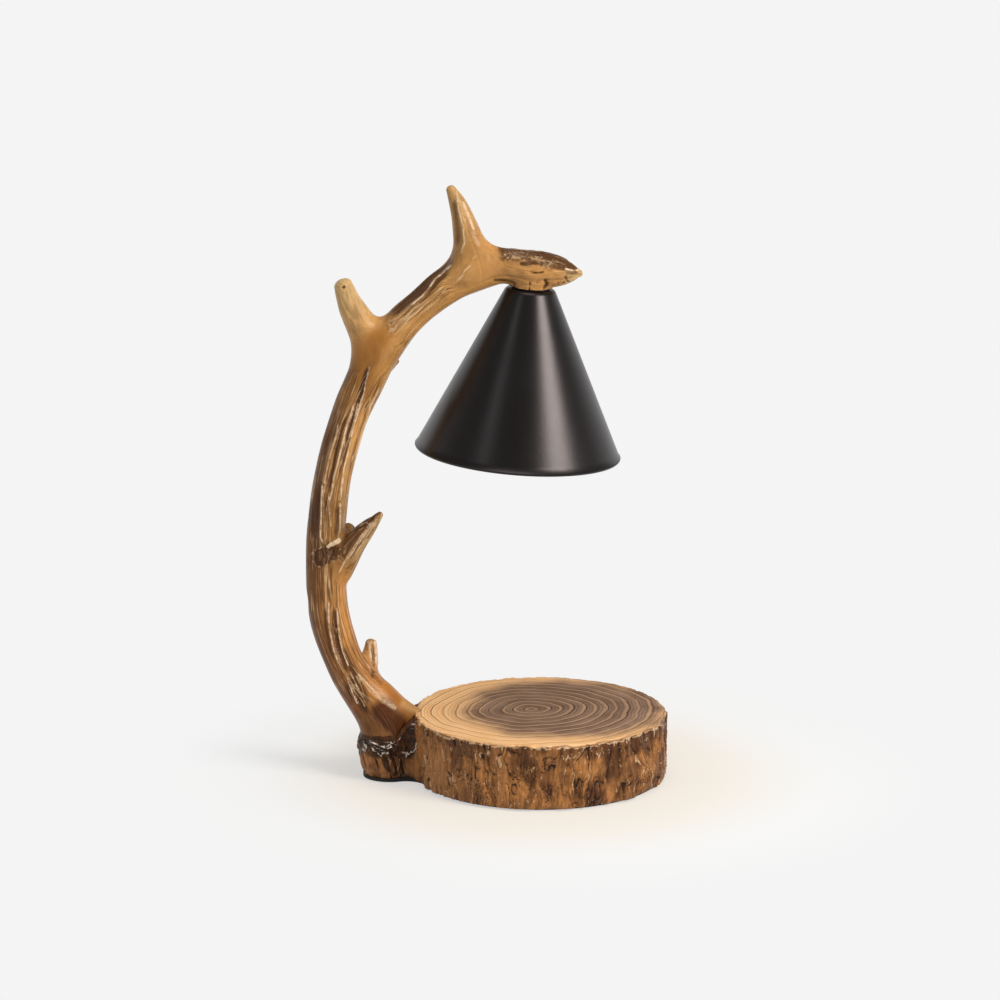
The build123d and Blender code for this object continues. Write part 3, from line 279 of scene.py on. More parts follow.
def spline_through(knots, values, at):
    """Natural cubic spline: piecewise cubics whose slope and curvature agree at the knots."""
    n = len(knots)
    h = np.diff(knots)
    system = np.zeros((n, n))
    system[0, 0] = system[-1, -1] = 1.0
    i = np.arange(1, n - 1)
    system[i, i - 1] = h[:-1]
    system[i, i] = 2 * (h[:-1] + h[1:])
    system[i, i + 1] = h[1:]
    right = np.zeros_like(values)
    right[1:-1] = 6 * (np.diff(values[1:], axis=0) / h[1:, None] - np.diff(values[:-1], axis=0) / h[:-1, None])
    bend = np.linalg.solve(system, right)
    k = np.clip(np.searchsorted(knots, at) - 1, 0, n - 2)
    g = h[k][:, None]
    a = (knots[k + 1] - at)[:, None]
    b = (at - knots[k])[:, None]
    curve = (bend[k] * a**3 + bend[k + 1] * b**3) / (6 * g)
    return curve + (values[k] / g - bend[k] * g / 6) * a + (values[k + 1] / g - bend[k + 1] * g / 6) * b


def course_distance(x, z, course):
    """Distance in the XZ plane to a bent line, the nearest place along it (0..1) and its side (1 or -1)."""
    course = np.array(course, float)
    lengths = np.hypot(*np.diff(course, axis=0).T)
    total = lengths.sum()
    best = np.full(x.shape, 1e9)
    place, side = np.zeros(x.shape), np.ones(x.shape)
    run = 0.0
    for (ax, az), (bx, bz), length in zip(course[:-1], course[1:], lengths):
        t = np.clip(((x - ax) * (bx - ax) + (z - az) * (bz - az)) / length**2, 0, 1)
        d = np.hypot(x - ax - t * (bx - ax), z - az - t * (bz - az))
        place = np.where(d < best, (run + t * length) / total, place)
        side = np.where(d < best, np.sign((x - ax) * (bz - az) - (z - az) * (bx - ax)), side)
        best = np.minimum(best, d)
        run += length
    return best, place, side


def off_course(x, z, course):
    """Distance alone to a bent line in the XZ plane."""
    return course_distance(x, z, course)[0]


# ---- mesh helpers ---------------------------------------------------------------------------------
def wrapped_quads(rows, cols):
    """Four-cornered faces between successive rows of points, each row closed on itself."""
    r, c = np.meshgrid(np.arange(rows - 1), np.arange(cols), indexing="ij")
    n = (c + 1) % cols
    return np.stack([r * cols + c, r * cols + n, (r + 1) * cols + n, (r + 1) * cols + c], -1).reshape(-1, 4)


def closed_tube(rings):
    """Points and faces of rows of rings (rows, around, 3) whose two ends close on their middles."""
    rows, cols = rings.shape[:2]
    points = np.concatenate([rings.reshape(-1, 3), rings[0].mean(0)[None], rings[-1].mean(0)[None]])
    c = np.arange(cols)
    n = (c + 1) % cols
    start = np.stack([n, c, np.full(cols, rows * cols)], -1)
    end = np.stack([(rows - 1) * cols + c, (rows - 1) * cols + n, np.full(cols, rows * cols + 1)], -1)
    return points, [wrapped_quads(rows, cols), start, end]


def looped_tube(rings):
    """Points and faces of rows of rings whose last row joins the first, as on a turned wall."""
    rows, cols = rings.shape[:2]
    return rings.reshape(-1, 3), [wrapped_quads(rows + 1, cols) % (rows * cols)]


def joined(shells):
    """Points and faces of several shells as one, each shell's faces counted on from the shell before."""
    starts = np.cumsum([0] + [len(points) for points, _ in shells])
    faces = [part + start for (_, parts), start in zip(shells, starts) for part in parts]
    return np.concatenate([points for points, _ in shells]), faces


def mesh_from(name, points, faces, turn_over=False):
    """A smooth-shaded mesh from points in millimetres and arrays of faces, which may be turned over."""
    mesh = bpy.data.meshes.new(name)
    corners = [face for part in faces for face in (part[:, ::-1] if turn_over else part).tolist()]
    mesh.from_pydata((points * MM).tolist(), [], corners)
    mesh.shade_smooth()
    mesh.update()
    return mesh


def modified(name, mesh, kind, **values):
    """A new mesh: this one after a single modifier with these values."""
    work = bpy.data.objects.new(name + "_work", mesh)
    bpy.context.scene.collection.objects.link(work)
    modifier = work.modifiers.new(kind.title(), kind)
    for key, value in values.items():
        setattr(modifier, key, value)
    shown = work.evaluated_get(bpy.context.evaluated_depsgraph_get())
    made = bpy.data.meshes.new_from_object(shown)
    bpy.data.objects.remove(work, do_unlink=True)
    return made


def keep(mesh, name, values):
    """Stores one number or one vector per point on the mesh, for its material."""
    values = np.asarray(values, np.float32)
    kind, field = ("FLOAT", "value") if values.ndim == 1 else ("FLOAT_VECTOR", "vector")
    layer = mesh.attributes.new(name, kind, "POINT")
    layer.data.foreach_set(field, values.ravel())


def clear(name):
    """Removes an earlier piece of this name, so that its operator can run again."""
    old = bpy.data.objects.get(name)
    if old is not None:
        bpy.data.objects.remove(old, do_unlink=True)


def place(name, mesh, material, slot, body, *nodes):
    """Puts a finished mesh in the scene as a piece of a body, in place of the named nodes."""
    clear(name)
    piece = bpy.data.objects.new(name, mesh)
    bpy.context.scene.collection.objects.link(piece)
    mesh.materials.clear()
    mesh.materials.append(material)
    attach(piece, body)
    if nodes:
        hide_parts(*nodes)
    return piece


def smooth_copy(node, material, slot, body, angle=32.0):
    """A copy of a node's mesh with its loose corners joined and its sharp edges kept."""
    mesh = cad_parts[node].data.copy()
    mesh.name = node + "_finish"
    welded = modified(node, mesh, "WELD", merge_threshold=2e-6)
    if welded.has_custom_normals:
        welded.normals_split_custom_set_from_vertices([(0.0, 0.0, 0.0)] * len(welded.vertices))
    welded.shade_smooth()
    welded.set_sharp_from_angle(angle=math.radians(angle))
    piece = place(node + "_finish", welded, material, slot, body, node)
    level = piece.modifiers.new("Level", "WEIGHTED_NORMAL")
    level.keep_sharp = True
    return piece


def shade_frame(r, turn, z):
    """Points at radius r, turn and height z of the shade's own axis, in the frame's axes."""
    x, y = r * np.cos(turn), r * np.sin(turn)
    up = np.array([math.sin(TILT), 0.0, math.cos(TILT)])
    across = np.array([math.cos(TILT), 0.0, -math.sin(TILT)])
    base = np.array([HANG[0], 0.0, HANG[1]])
    return base + x[..., None] * across + y[..., None] * np.array([0.0, 1.0, 0.0]) + z[..., None] * up


def to_shade_axis(points):
    """Distance from the shade's axis and height along it, for points in the frame's axes."""
    d = points - np.array([HANG[0], 0.0, HANG[1]])
    x = d[:, 0] * math.cos(TILT) - d[:, 2] * math.sin(TILT)
    z = d[:, 0] * math.sin(TILT) + d[:, 2] * math.cos(TILT)
    return np.hypot(x, d[:, 1]), z


# ---- antler ---------------------------------------------------------------------------------------
class Limb:
    """A bent bar with elliptical sections: centre line, directions and half sizes along its length."""

    def __init__(self, stations, blunt, web=0.0):
        table = np.array(stations, float)
        if table.shape[1] == 4:
            table = np.column_stack([table, table[:, 3]])
        table[:, 0] = FOOT[0] + table[:, 0] * (HANG[0] - FOOT[0])
        table[:, 1] = FOOT[1] + table[:, 1] * (HANG[1] - FOOT[1])
        table = table[:, [0, 2, 1, 3, 4]]
        knots = np.concatenate([[0.0], np.cumsum(np.linalg.norm(np.diff(table[:, :3], axis=0), axis=1))])
        samples = spline_through(knots, table, np.linspace(0, knots[-1], max(40, int(knots[-1]))))
        self.centre = samples[:, :3]
        self.half = samples[:, 3:]
        steps = np.linalg.norm(np.diff(self.centre, axis=0), axis=1)
        self.along = np.concatenate([[0.0], np.cumsum(steps)])
        run = np.gradient(self.centre, axis=0)
        self.run = run / np.linalg.norm(run, axis=1)[:, None]
        back = np.array([0.0, 1.0, 0.0]) - self.run[:, 1:2] * self.run
        self.back = back / np.linalg.norm(back, axis=1)[:, None]
        self.inner = np.cross(self.back, self.run)
        self.blunt = blunt
        self.web = web

    def at(self, s, table):
        """A row of a table, read off at lengths s."""
        return np.stack([np.interp(s, self.along, table[:, i]) for i in range(table.shape[1])], 1)

    def tube(self, around=40, step=2.0):
        """Rings of points on its surface, with a domed tip."""
        s = np.linspace(0, self.along[-1], int(self.along[-1] / step) + 2)
        scale = np.ones_like(s)
        reach = self.blunt * self.half[-1, 0]
        dome = np.array([0.35, 0.65, 0.88, 0.985])
        s = np.concatenate([s, np.full(4, self.along[-1])])
        scale = np.concatenate([scale, np.sqrt(1 - dome**2)])
        push = np.concatenate([np.zeros(len(s) - 4), reach * dome])
        turn = np.linspace(0, 2 * math.pi, around, endpoint=False)
        centre = self.at(s, self.centre) + push[:, None] * self.at(s, self.run)
        half = self.at(s, self.half) * scale[:, None]
        inner, back = self.at(s, self.inner), self.at(s, self.back)
        ring = half[:, 0, None, None] * np.cos(turn)[None, :, None] * inner[:, None]
        ring = ring + half[:, 1, None, None] * np.sin(turn)[None, :, None] * back[:, None]
        return closed_tube(centre[:, None] + ring)

    def measure(self, points):
        """Signed distance, outward direction, length s, turn and the two cross coordinates of each point."""
        nearest = np.empty(len(points), int)
        size = (self.centre**2).sum(1)
        for start in range(0, len(points), 8192):
            part = points[start : start + 8192]
            nearest[start : start + 8192] = (size[None] - 2 * part @ self.centre.T).argmin(1)
        s = self.along[nearest] + ((points - self.centre[nearest]) * self.run[nearest]).sum(1)
        held = np.clip(s, 0.0, self.along[-1])
        centre, half = self.at(held, self.centre), self.at(held, self.half)
        run, inner, back = self.at(held, self.run), self.at(held, self.inner), self.at(held, self.back)
        d = points - centre
        u, v, w = (d * inner).sum(1), (d * back).sum(1), (d * run).sum(1)
        w = np.where((held > 0) & (held < self.along[-1]), 0.0, w)
        a, b = half[:, 0], half[:, 1]
        e = a * self.blunt
        q = np.sqrt((u / a) ** 2 + (v / b) ** 2 + (w / e) ** 2) + 1e-6
        length = np.sqrt(u**2 + v**2 + w**2) + 1e-6
        out = inner * (u / a**2)[:, None] + back * (v / b**2)[:, None] + run * (w / e**2)[:, None]
        out = out / (np.linalg.norm(out, axis=1)[:, None] + 1e-9)
        return length * (1 - 1 / q), out, held, np.arctan2(v / b, u / a), u, v


def antler_limbs():
    """The beam first, then its tines."""
    return [Limb(BEAM, 0.8)] + [Limb(*tine) for tine in TINES.values()]


def blend(distance, other, web):
    """Smooth union of two distances over a web of this width, and the share of the second."""
    h = np.clip(0.5 + 0.5 * (distance - other) / web, 0, 1)
    return distance * (1 - h) + other * h - web * h * (1 - h), h


def antler_measure(limbs, points):
    """Smooth union of the limbs and the boss's collar: distance, outward direction, each limb's share and measures."""
    half, radius, taper, web = 5.0, 11.2, 0.05, 2.5  # the collar that seats on the gasket
    distance, out, *measures = limbs[0].measure(points)
    shares = [np.ones(len(points))]
    own = [measures]
    for limb in limbs[1:]:
        d, o, *measures = limb.measure(points)
        distance, h = blend(distance, d, limb.web)
        out = out * (1 - h)[:, None] + o * h[:, None]
        shares = [share * (1 - h) for share in shares] + [h]
        own.append(measures)
    r, z = to_shade_axis(points)
    distance, h = blend(distance, np.maximum(np.abs(z - half) - half, r - (radius - taper * z)), web)
    radial = points - np.array([HANG[0], 0.0, HANG[1]])
    radial[:, 2] = 0
    radial = radial / (np.linalg.norm(radial, axis=1)[:, None] + 1e-9)
    out = out * (1 - h)[:, None] + radial * h[:, None]
    return distance, out / (np.linalg.norm(out, axis=1)[:, None] + 1e-9), shares, own


def limb_grain(points, shares, own, limbs):
    """Relief, stain and pale marks of the flutes, and each point's place in the grain.

    The flutes are the level lines of a ripple stretched along each limb, blended by the limbs' shares.
    """
    n = len(points)
    beam = limbs[0]
    relief, stain, pale_marks, grain = np.zeros(n), np.zeros(n), np.zeros(n), np.zeros((n, 3))
    for index, (limb, share, (s, turn, u, v)) in enumerate(zip(limbs, shares, own)):
        around = 7 if index else 9
        lane = turn / (2 * math.pi) * around + 0.9 * (ripple(s / 37.0, s * 0 + 3.3, REPEAT, 50 + index) - 0.5)
        course = ripple(lane, s / 64.0 + 11 * index, around, 70 + index)
        fine = ripple(turn / (2 * math.pi) * 26, s / 19.0, 26, 90 + index)
        bold = ease(0.35, 0.75, ripple(turn / (2 * math.pi) * 4, s / 55.0 + 5.0, 4, 30 + index))
        groove = bell(course - 0.47, 0.055) * bold
        edge = bell(course - 0.585, 0.028) * bold
        tip = ease(limb.along[-1] * 0.45, limb.along[-1], s) if index else 0.0 * s
        calm = (1 - 0.75 * tip) * ease(34.0, 60.0, points[:, 2])
        relief += share * (calm * (-0.75 * groove + 0.22 * edge) + 0.16 * (fine - 0.5) * calm)
        stain += share * calm * (0.75 * groove + 0.25 * ease(0.66, 0.2, fine) * bold)
        pale_marks += share * calm * (0.35 * edge + 0.15 * ease(0.6, 0.9, fine) * bold)
        root = beam.along[np.linalg.norm(beam.centre - limb.centre[0], axis=1).argmin()]
        grain += share[:, None] * np.stack([u, v, (s + root) * 0.16], 1)
    return relief, stain, pale_marks, grain


def antler_marks(points, shares, own, limbs, depth):
    """Relief of the antler in millimetres and the masks of its paint, some of them painted highlights.

    The marks of the near side are bells round their courses, over the flutes that run along the limbs.
    """
    relief, stain, pale_marks, grain = limb_grain(points, shares, own, limbs)
    x, y, z = points.T
    near = ease(1.5, -3.0, y + 5.5 * ease(-100, -88, x) * ease(175, 120, z) * ease(110, 130, z))
    near = np.maximum(near, shares[HEEL])
    stain *= 1 - 0.35 * near
    pale_marks *= 1 - 0.25 * near
    relief *= 1 - 0.15 * near
    fibres = ripple(x / 1.1, z / 4.0, REPEAT, 33)
    for course, width, strength in FLUTES:
        d, t, _ = course_distance(x, z, course)
        ends = ease(0.0, 0.2, t) * ease(1.0, 0.8, t)
        mark = bell(d, width * 1.35) * (0.25 + 0.75 * ends) * near * strength
        relief -= 1.05 * mark
        stain = np.maximum(stain, 1.1 * mark)
    line = np.stack([np.full(len(points), FAR), 0 * x, 0 * x], 1)
    for course, width, strength in CRESTS:
        d, t, side = course_distance(x, z, course)
        ends = ease(0, 0.06, t) * ease(1, 0.94, t)
        mark = bell(d, 1.0) * near * strength * ends
        shadow = bell(side * d - 1.9, 1.1) * near * strength * ease(0, 0.25, t) * ease(1, 0.75, t)
        relief += 0.6 * mark - 0.4 * shadow
        stain = np.maximum(stain, 0.75 * shadow)
        shown = ease(3.0, 2.0, d) * near * (0.5 + 0.6 * strength) * ends
        nearer = d < np.abs(line[:, 0])
        line = np.where(nearer[:, None], np.stack([side * d / (1.15 * width), shown, t * 0], 1), line)
    line[:, 2] = np.clip(1.5 * sum(4 * share * (1 - share) for share in shares[1:]), 0, 1)
    # Smooth dark strip beside the flute of the arch
    d, t, side = course_distance(x, z, ARCH_FLUTE[0])
    strip = ease(-1.0, 1.0, -side * d) * ease(11.0, 8.0, d) * ease(0.0, 0.08, t) * ease(1.0, 0.85, t)
    strip *= ease(6.0, 1.0, y)
    stain = np.maximum(stain, 0.9 * strip)
    for course, width, strength in CREVICES:
        d = off_course(x, z, course)
        mark = bell(d + 0.5 * (lumps(points, 1.6, 5) - 0.5), width) * near * strength
        relief -= 1.3 * mark
        stain = np.maximum(stain, 1.1 * mark)
    for px, pz, radius in PITS:
        mark = bell(np.hypot(x - px, z - pz), radius) * near
        relief -= 0.42 * radius * mark
        stain = np.maximum(stain, 1.15 * ease(0.15, 0.7, mark))
    # Sheath: a smooth channel that ends in a bright chip above the knot
    inside = ease(-121.0, -119.5, x) * ease(-110.6, -112.0, x) * ease(137.0, 140.0, z) * ease(178.0, 165.0, z) * near
    relief -= 0.55 * inside
    chip = ease(1.7, 0.8, off_course(x, z, CHIP) + 0.5 * (lumps(points, 2.0, 9) - 0.5)) * near
    relief += 0.9 * chip
    pale_marks = np.maximum(pale_marks, 1.3 * chip)
    stain *= 1 - 0.9 * chip
    knot = off_course(x, z, KNOT)
    crumb = lumps(points, 1.3, 8)
    line[:, 1] *= 1 - ease(0.15, 0.5, bell(knot, 5.0))
    outer = ease(0.42, 0.12, 0.5 + 0.5 * np.cos(own[0][1])) * ease(100, 130, z) * ease(265, 240, z)
    pale_marks = np.maximum(pale_marks, 0.27 * outer * shares[0])
    relief += bell(knot, 4.6) * near * (1.7 * (crumb - 0.5) - 1.1)
    dark = ease(0.08, 0.85, bell(knot, 5.4))
    stain = np.maximum(stain, 1.25 * dark * near * (1 - chip) * (0.8 + 0.4 * (crumb < 0.62)))
    pale_marks = np.maximum(pale_marks, 0.6 * bell(knot - 5.0, 0.9) * near * ease(0.45, 0.70, crumb))
    pale_marks = np.maximum(pale_marks, 0.36 * bell(knot, 4.5) * near)
    # Rough pale band of the arch and pitted top of the boss
    rough = bell(off_course(x, z, ARCH_BAND), 5.0) * near
    scratch = ripple((x + z) / 9.0, (x - z) / 1.3, REPEAT, 14)
    relief += rough * 0.5 * (scratch - 0.5)
    pale_marks = np.maximum(pale_marks, rough * ease(0.55, 0.85, scratch) * 0.62)
    stain = np.maximum(stain, rough * ease(0.35, 0.05, scratch) * 0.5)
    crown = bell(off_course(x, z, BOSS_CROWN) + 1.6 * (fibres - 0.5), 4.4) * ease(13.0, 4.0, np.abs(y))
    stain = np.maximum(stain, 1.05 * crown)
    relief += crown * 0.5 * (ripple((x + 0.4 * z) / 6.0, z / 1.2, REPEAT, 44) - 0.5)
    # Pale specks on the pitted top of the boss are painted highlights on the pits
    pitted = bell(off_course(x, z, BOSS_PITTED), 3.6) * near
    relief += pitted * 1.0 * (crumb - 0.55)
    stain = np.maximum(stain, pitted * (0.5 + 0.4 * ease(0.75, 0.30, crumb)))
    pale_marks = np.maximum(pale_marks, pitted * (0.42 + 0.14 * ease(0.50, 0.85, crumb)))
    lower = near * ease(-22.0, -12.0, x) * ease(286.0, 281.0, z) * ease(274.0, 278.0, z)
    chipped = ease(0.76, 0.86, lumps(points, 2.1, 55)) * lower
    relief -= 0.7 * chipped
    stain = np.maximum(stain, chipped * 1.1)
    body = ease(-40.0, -18.0, x) * ease(270.0, 276.0, z)
    relief += body * 0.32 * (lumps(points, 2.3, 21) - 0.5)
    relief += 0.9 * (lumps(points, 17.0, 3) - 0.5) * depth
    # Painted highlight down the foot, added to the pale marks
    pale_marks = np.maximum(pale_marks, 0.55 * bell(off_course(x, z, FOOT_HIGHLIGHT), 2.2) * near * ease(70.0, 60.0, z))
    plain = (1 - ease(0.1, 0.7, shares[CROWN] + shares[BROW])) * (1 - ease(0.1, 0.6, shares[TOE]))
    fluted = np.maximum(ease(268, 240, z) * ease(38, 54, z) * 0.85, np.maximum(1.1 * rough, strip)) * plain
    fluted = np.maximum(fluted, 0.45 * crown + 0.5 * shares[FRONT] + 0.9 * shares[HEEL] + 0.12)
    return relief * depth, np.clip(stain, 0, 1.3), np.clip(pale_marks, 0, 1.3), grain, np.clip(fluted, 0, 1), line


def antler_tones(points, shares, own, limbs):
    """Masks 0..1 of the antler's paint: golden or brown, dark red, pale, and deep amber; the pale one also holds a
    painted highlight on the toe.
    """
    x, y, z = points.T
    side = 0.5 + 0.5 * np.cos(own[0][1])
    low = 0.20 + 0.76 * ease(0.20, 0.80, side)
    gold = np.where(z < 262, low + 0.22 * ease(155, 190, z) * (1 - side), 0.85)
    gold = gold * ease(285, 245, z) + 0.80 * (1 - ease(285, 245, z))
    gold = gold + 0.18 * ease(225, 262, z)
    pale = np.zeros(len(points))
    for index, amount in ((CROWN, 0.55), (BROW, 1.0), (FRONT, 0.0), (HEEL, 1.1), (BACK, 0.3), (STUB, 0.1)):
        share = shares[index]
        gold = gold * (1 - share) + share * np.clip(gold * 0.35 + 0.55, 0, 1)
        pale += share * amount * ease(0.15, 1.0, own[index][0] / limbs[index].along[-1])
    upper = ease(0.55, -0.35, np.cos(own[FRONT][1]))
    gold = gold + shares[FRONT] * (0.45 - 1.25 * upper)
    pale += shares[FRONT] * 0.9 * (1 - upper) * ease(0.0, 0.5, own[FRONT][0] / limbs[FRONT].along[-1])
    near = ease(2.0, -4.0, y)
    gold = gold - 0.20 * ease(-45, -20, x) * ease(270, 278, z)
    foot_red = 1.25 * bell(off_course(x, z, FOOT_RED), 7.6) * near
    red = np.maximum(foot_red, 0.35 * ease(52.0, 34.0, z) * ease(0.5, 0.9, side))
    along_brow = own[BROW][0] / limbs[BROW].along[-1]
    amber = 1.15 * bell(off_course(x, z, NECK_AMBER), 8.0) * near
    amber = amber * ease(0.75, 0.30, shares[BROW] * ease(0.15, 0.5, along_brow))
    red = np.maximum(red, 0.36 * amber)
    red = np.maximum(red, 0.85 * bell(off_course(x, z, KNOT), 4.2) * near)
    red = np.maximum(red, 0.62 * bell(off_course(x, z, BOSS_RED), 4.0) * ease(13.0, 4.0, np.abs(y)))
    # Painted highlight on the toe, added to the pale mask
    pale = np.maximum(pale, bell(off_course(x, z, TOE_HIGHLIGHT), 1.8) * near)
    underside = ease(1.2, -0.8, z - 289.5 + 0.25 * (x - 17.0))
    pale = np.maximum(pale, 1.1 * ease(9.0, 19.0, x) * underside * ease(270, 276, z))
    gold = np.maximum(gold, 0.55 * ease(-98.0, -88.0, x) * ease(52.0, 42.0, z) * (1 - red) * near)
    amber = np.maximum(amber, 0.8 * bell(off_course(x, z, BEAM_AMBER), 5.0))
    amber = np.maximum(amber, 0.9 * bell(off_course(x, z, FOOT_AMBER), 3.4) * near)
    return [np.clip(mask, 0, 1) for mask in (gold, red, pale, amber)]


def seat_ring(around=48, radius=11.0):
    """A short stub on the shade's axis that carries the boss down to the gasket."""
    heights = SEAT + np.array([-1.0, 1.0, 4.0, 7.0])
    turn = np.linspace(0, 2 * math.pi, around, endpoint=False)
    turn, z = np.meshgrid(turn, heights)
    return closed_tube(shade_frame(np.full(z.shape, radius), turn, z))


def build_antler(settings):
    """Fuses the limbs' tubes, draws the skin onto their smooth union and lifts the relief on it."""
    limbs = antler_limbs()
    skin = mesh_from("antler_seed", *joined([limb.tube() for limb in limbs] + [seat_ring()]))
    pull = 3.0  # the furthest that a point moves in one step
    for _ in range(2):
        skin = modified("antler", skin, "REMESH", mode="VOXEL", voxel_size=settings.mesh_step)
        co = np.empty(len(skin.vertices) * 3, np.float32)
        skin.vertices.foreach_get("co", co)
        co = co.reshape(-1, 3).astype(float) / MM
        for _ in range(3):
            distance, out, shares, own = antler_measure(limbs, co)
            co = co - out * np.clip(distance, -pull, pull)[:, None]
        skin.vertices.foreach_set("co", (co * MM).astype(np.float32).ravel())
    for _ in range(3):
        distance, out, shares, own = antler_measure(limbs, co)
        relief, stain, pale_marks, grain, fluted, line = antler_marks(co, shares, own, limbs, settings.flute_depth / MM)
        co = co + out * np.clip(relief - distance, -pull, pull)[:, None]
    gold, red, pale, amber = antler_tones(co, shares, own, limbs)
    seat, gasket = SEAT + 0.05, 15.4
    r, z = to_shade_axis(co)
    lift = np.where((r < gasket) & (z < seat), seat - z, 0.0)
    co = co + lift[:, None] * np.array([math.sin(TILT), 0.0, math.cos(TILT)])
    co[:, 2] = np.maximum(co[:, 2], FOOT[1] - 1.0)
    skin.vertices.foreach_set("co", (co * MM).astype(np.float32).ravel())
    skin.name = "antler_casting"
    for name in [layer.name for layer in skin.attributes if not layer.is_required]:
        skin.attributes.remove(skin.attributes[name])
    masks = {"stain": stain, "pale_marks": pale_marks, "gold": gold, "red": red, "pale": pale, "amber": amber, "fluted": fluted,
             "grain": grain * MM, "line": line}
    for name, values in masks.items():
        keep(skin, name, values)
    skin.shade_smooth()
    skin.update()
    return place("antler_casting", skin, antler_resin(settings), "antler_resin", "root", "antler_arm")


# ---- wood slice -----------------------------------------------------------------------------------
def bark(arc, height, girth, seed, depth, high):
    """Relief of bark over its outline's length and its height, with its cavity, crest and tone.

    Upright ribs are folded ripples, 1 - |2n - 1|, on courses that a slower ripple bends; thin cracks
    are the level lines of a ripple; crumbs are small cells inside patches. Drips hang from the rim.
    """
    def lanes(size):
        return max(4, int(round(girth / size)))

    def across(size, at=arc):
        return at / girth * lanes(size)

    def flat(size, offset):
        return ripple(across(size), height * 0 + offset, lanes(size), seed + 2)

    slant = 0.55 * (height - 18) * (layered(across(48), height * 0 + 2.5, lanes(48), seed + 2, 2) - 0.42)
    wander = 7.0 * (layered(across(17), height / 15.0 + 3, lanes(17), seed, 3) - 0.5)
    bent = arc + wander + slant
    style = ease(0.30, 0.72, flat(52, 7.5))
    near_rim = ease(high - 15, high - 1, height)
    ribs = 1 - np.abs(2 * layered(across(8.2, bent), height / 38.0, lanes(8.2), seed + 6, 2) - 1)
    ribs = ease(0.45, 0.98, ribs)
    fine_ribs = 1 - np.abs(2 * layered(across(3.1, bent), height / 13.0, lanes(3.1), seed + 7, 3) - 1)
    hair = 1 - np.abs(2 * ripple(across(1.3, bent), height / 9.0, lanes(1.3), seed + 12) - 1)
    level = layered(across(9.5, bent), height / 24.0, lanes(9.5), seed + 5, 3)
    crack = bell(level - 0.47, 0.021) + 0.8 * bell(level - 0.60, 0.015)
    crack = crack * ease(0.30, 0.55, layered(across(11), height / 10.0 + 9, lanes(11), seed + 13, 2))
    side = 1 - np.abs(2 * layered(across(12), height / 5.5 + bent * 0.05, lanes(12), seed + 14, 3) - 1)
    step = ease(0.90, 0.99, side) * (1 - 0.7 * style)
    swell = layered(across(16), height / 13.0, lanes(16), seed + 8, 3)
    grain = layered(across(1.5), height / 2.2, lanes(1.5), seed + 9, 3)
    patch = ease(0.53, 0.66, layered(across(12), height / 10.0 + 4, lanes(12), seed + 15, 2))
    patch = patch * ease(high - 4, high - 12, height)
    border = plates(across(1.9), height / 1.8, lanes(1.9), seed + 16)
    crumbs = patch * (ease(0.0, 0.35, border) - 0.6)
    drip = ripple(across(6.2), height * 0 + 1.5, lanes(6.2), seed + 17)
    drips = near_rim * ease(0.48, 0.62, drip) * ease(high - 13 * drip - 1, high - 13 * drip + 1.5, height)
    relief = 1.8 * (swell - 0.5) + (0.8 + 1.6 * style) * (ribs - 0.55) + (0.5 + 0.7 * style) * (fine_ribs - 0.5)
    relief = relief + 0.28 * (hair - 0.5) + 0.35 * (grain - 0.5) - 1.1 * crack - 0.35 * step
    relief = relief + 0.9 * crumbs + 0.75 * drips
    relief = np.where(relief > 0, 1.3 * np.tanh(relief / 1.3), relief)
    deep = ease(0.36, 0.05, ribs) * (0.3 + 0.7 * style)
    cavity = np.clip(0.28 * deep + 0.95 * np.clip(crack, 0, 1) + 0.38 * ease(0.42, 0.15, fine_ribs)
                     + 0.3 * step + patch * ease(0.2, 0.02, border) * 0.7, 0, 1)
    edge = ease(0.84, 0.96, hair) * ease(0.6, 0.85, fine_ribs) * 0.9
    broken = ease(0.5, 0.65, layered(across(9), height / 8.0, lanes(9), seed + 18, 2))
    edge = edge + 0.9 * bell(level - 0.505, 0.010) * broken
    crest = np.clip(0.85 * edge + patch * ease(0.55, 0.85, grain) * 0.45 + 0.4 * bell(drips - 0.5, 0.25), 0, 1)
    gold = 0.36 + 0.50 * ease(0.35, 0.65, layered(across(14), height / 12.0 + 6, lanes(14), seed + 19, 3))
    shade = gold * (1 - 0.62 * near_rim) + 0.42 * (ribs - 0.5) + 0.16 * (fine_ribs - 0.5)
    return relief * depth, cavity, crest, np.clip(shade, 0, 1)


def ring_row(cols, r, z, masks):
    """Radius, height and masks of one row round a shell; a number stands for the same all round."""
    def wide(value):
        return np.broadcast_to(np.asarray(value, float), cols)

    return wide(r), wide(z), np.stack([wide(mask) for mask in masks])


def row_tables(rows):
    """Tables of the rows' radii, heights and masks, the masks first by kind."""
    r, z, masks = (np.array(part) for part in zip(*rows))
    return r, z, masks.transpose(1, 0, 2).reshape(masks.shape[1], -1)


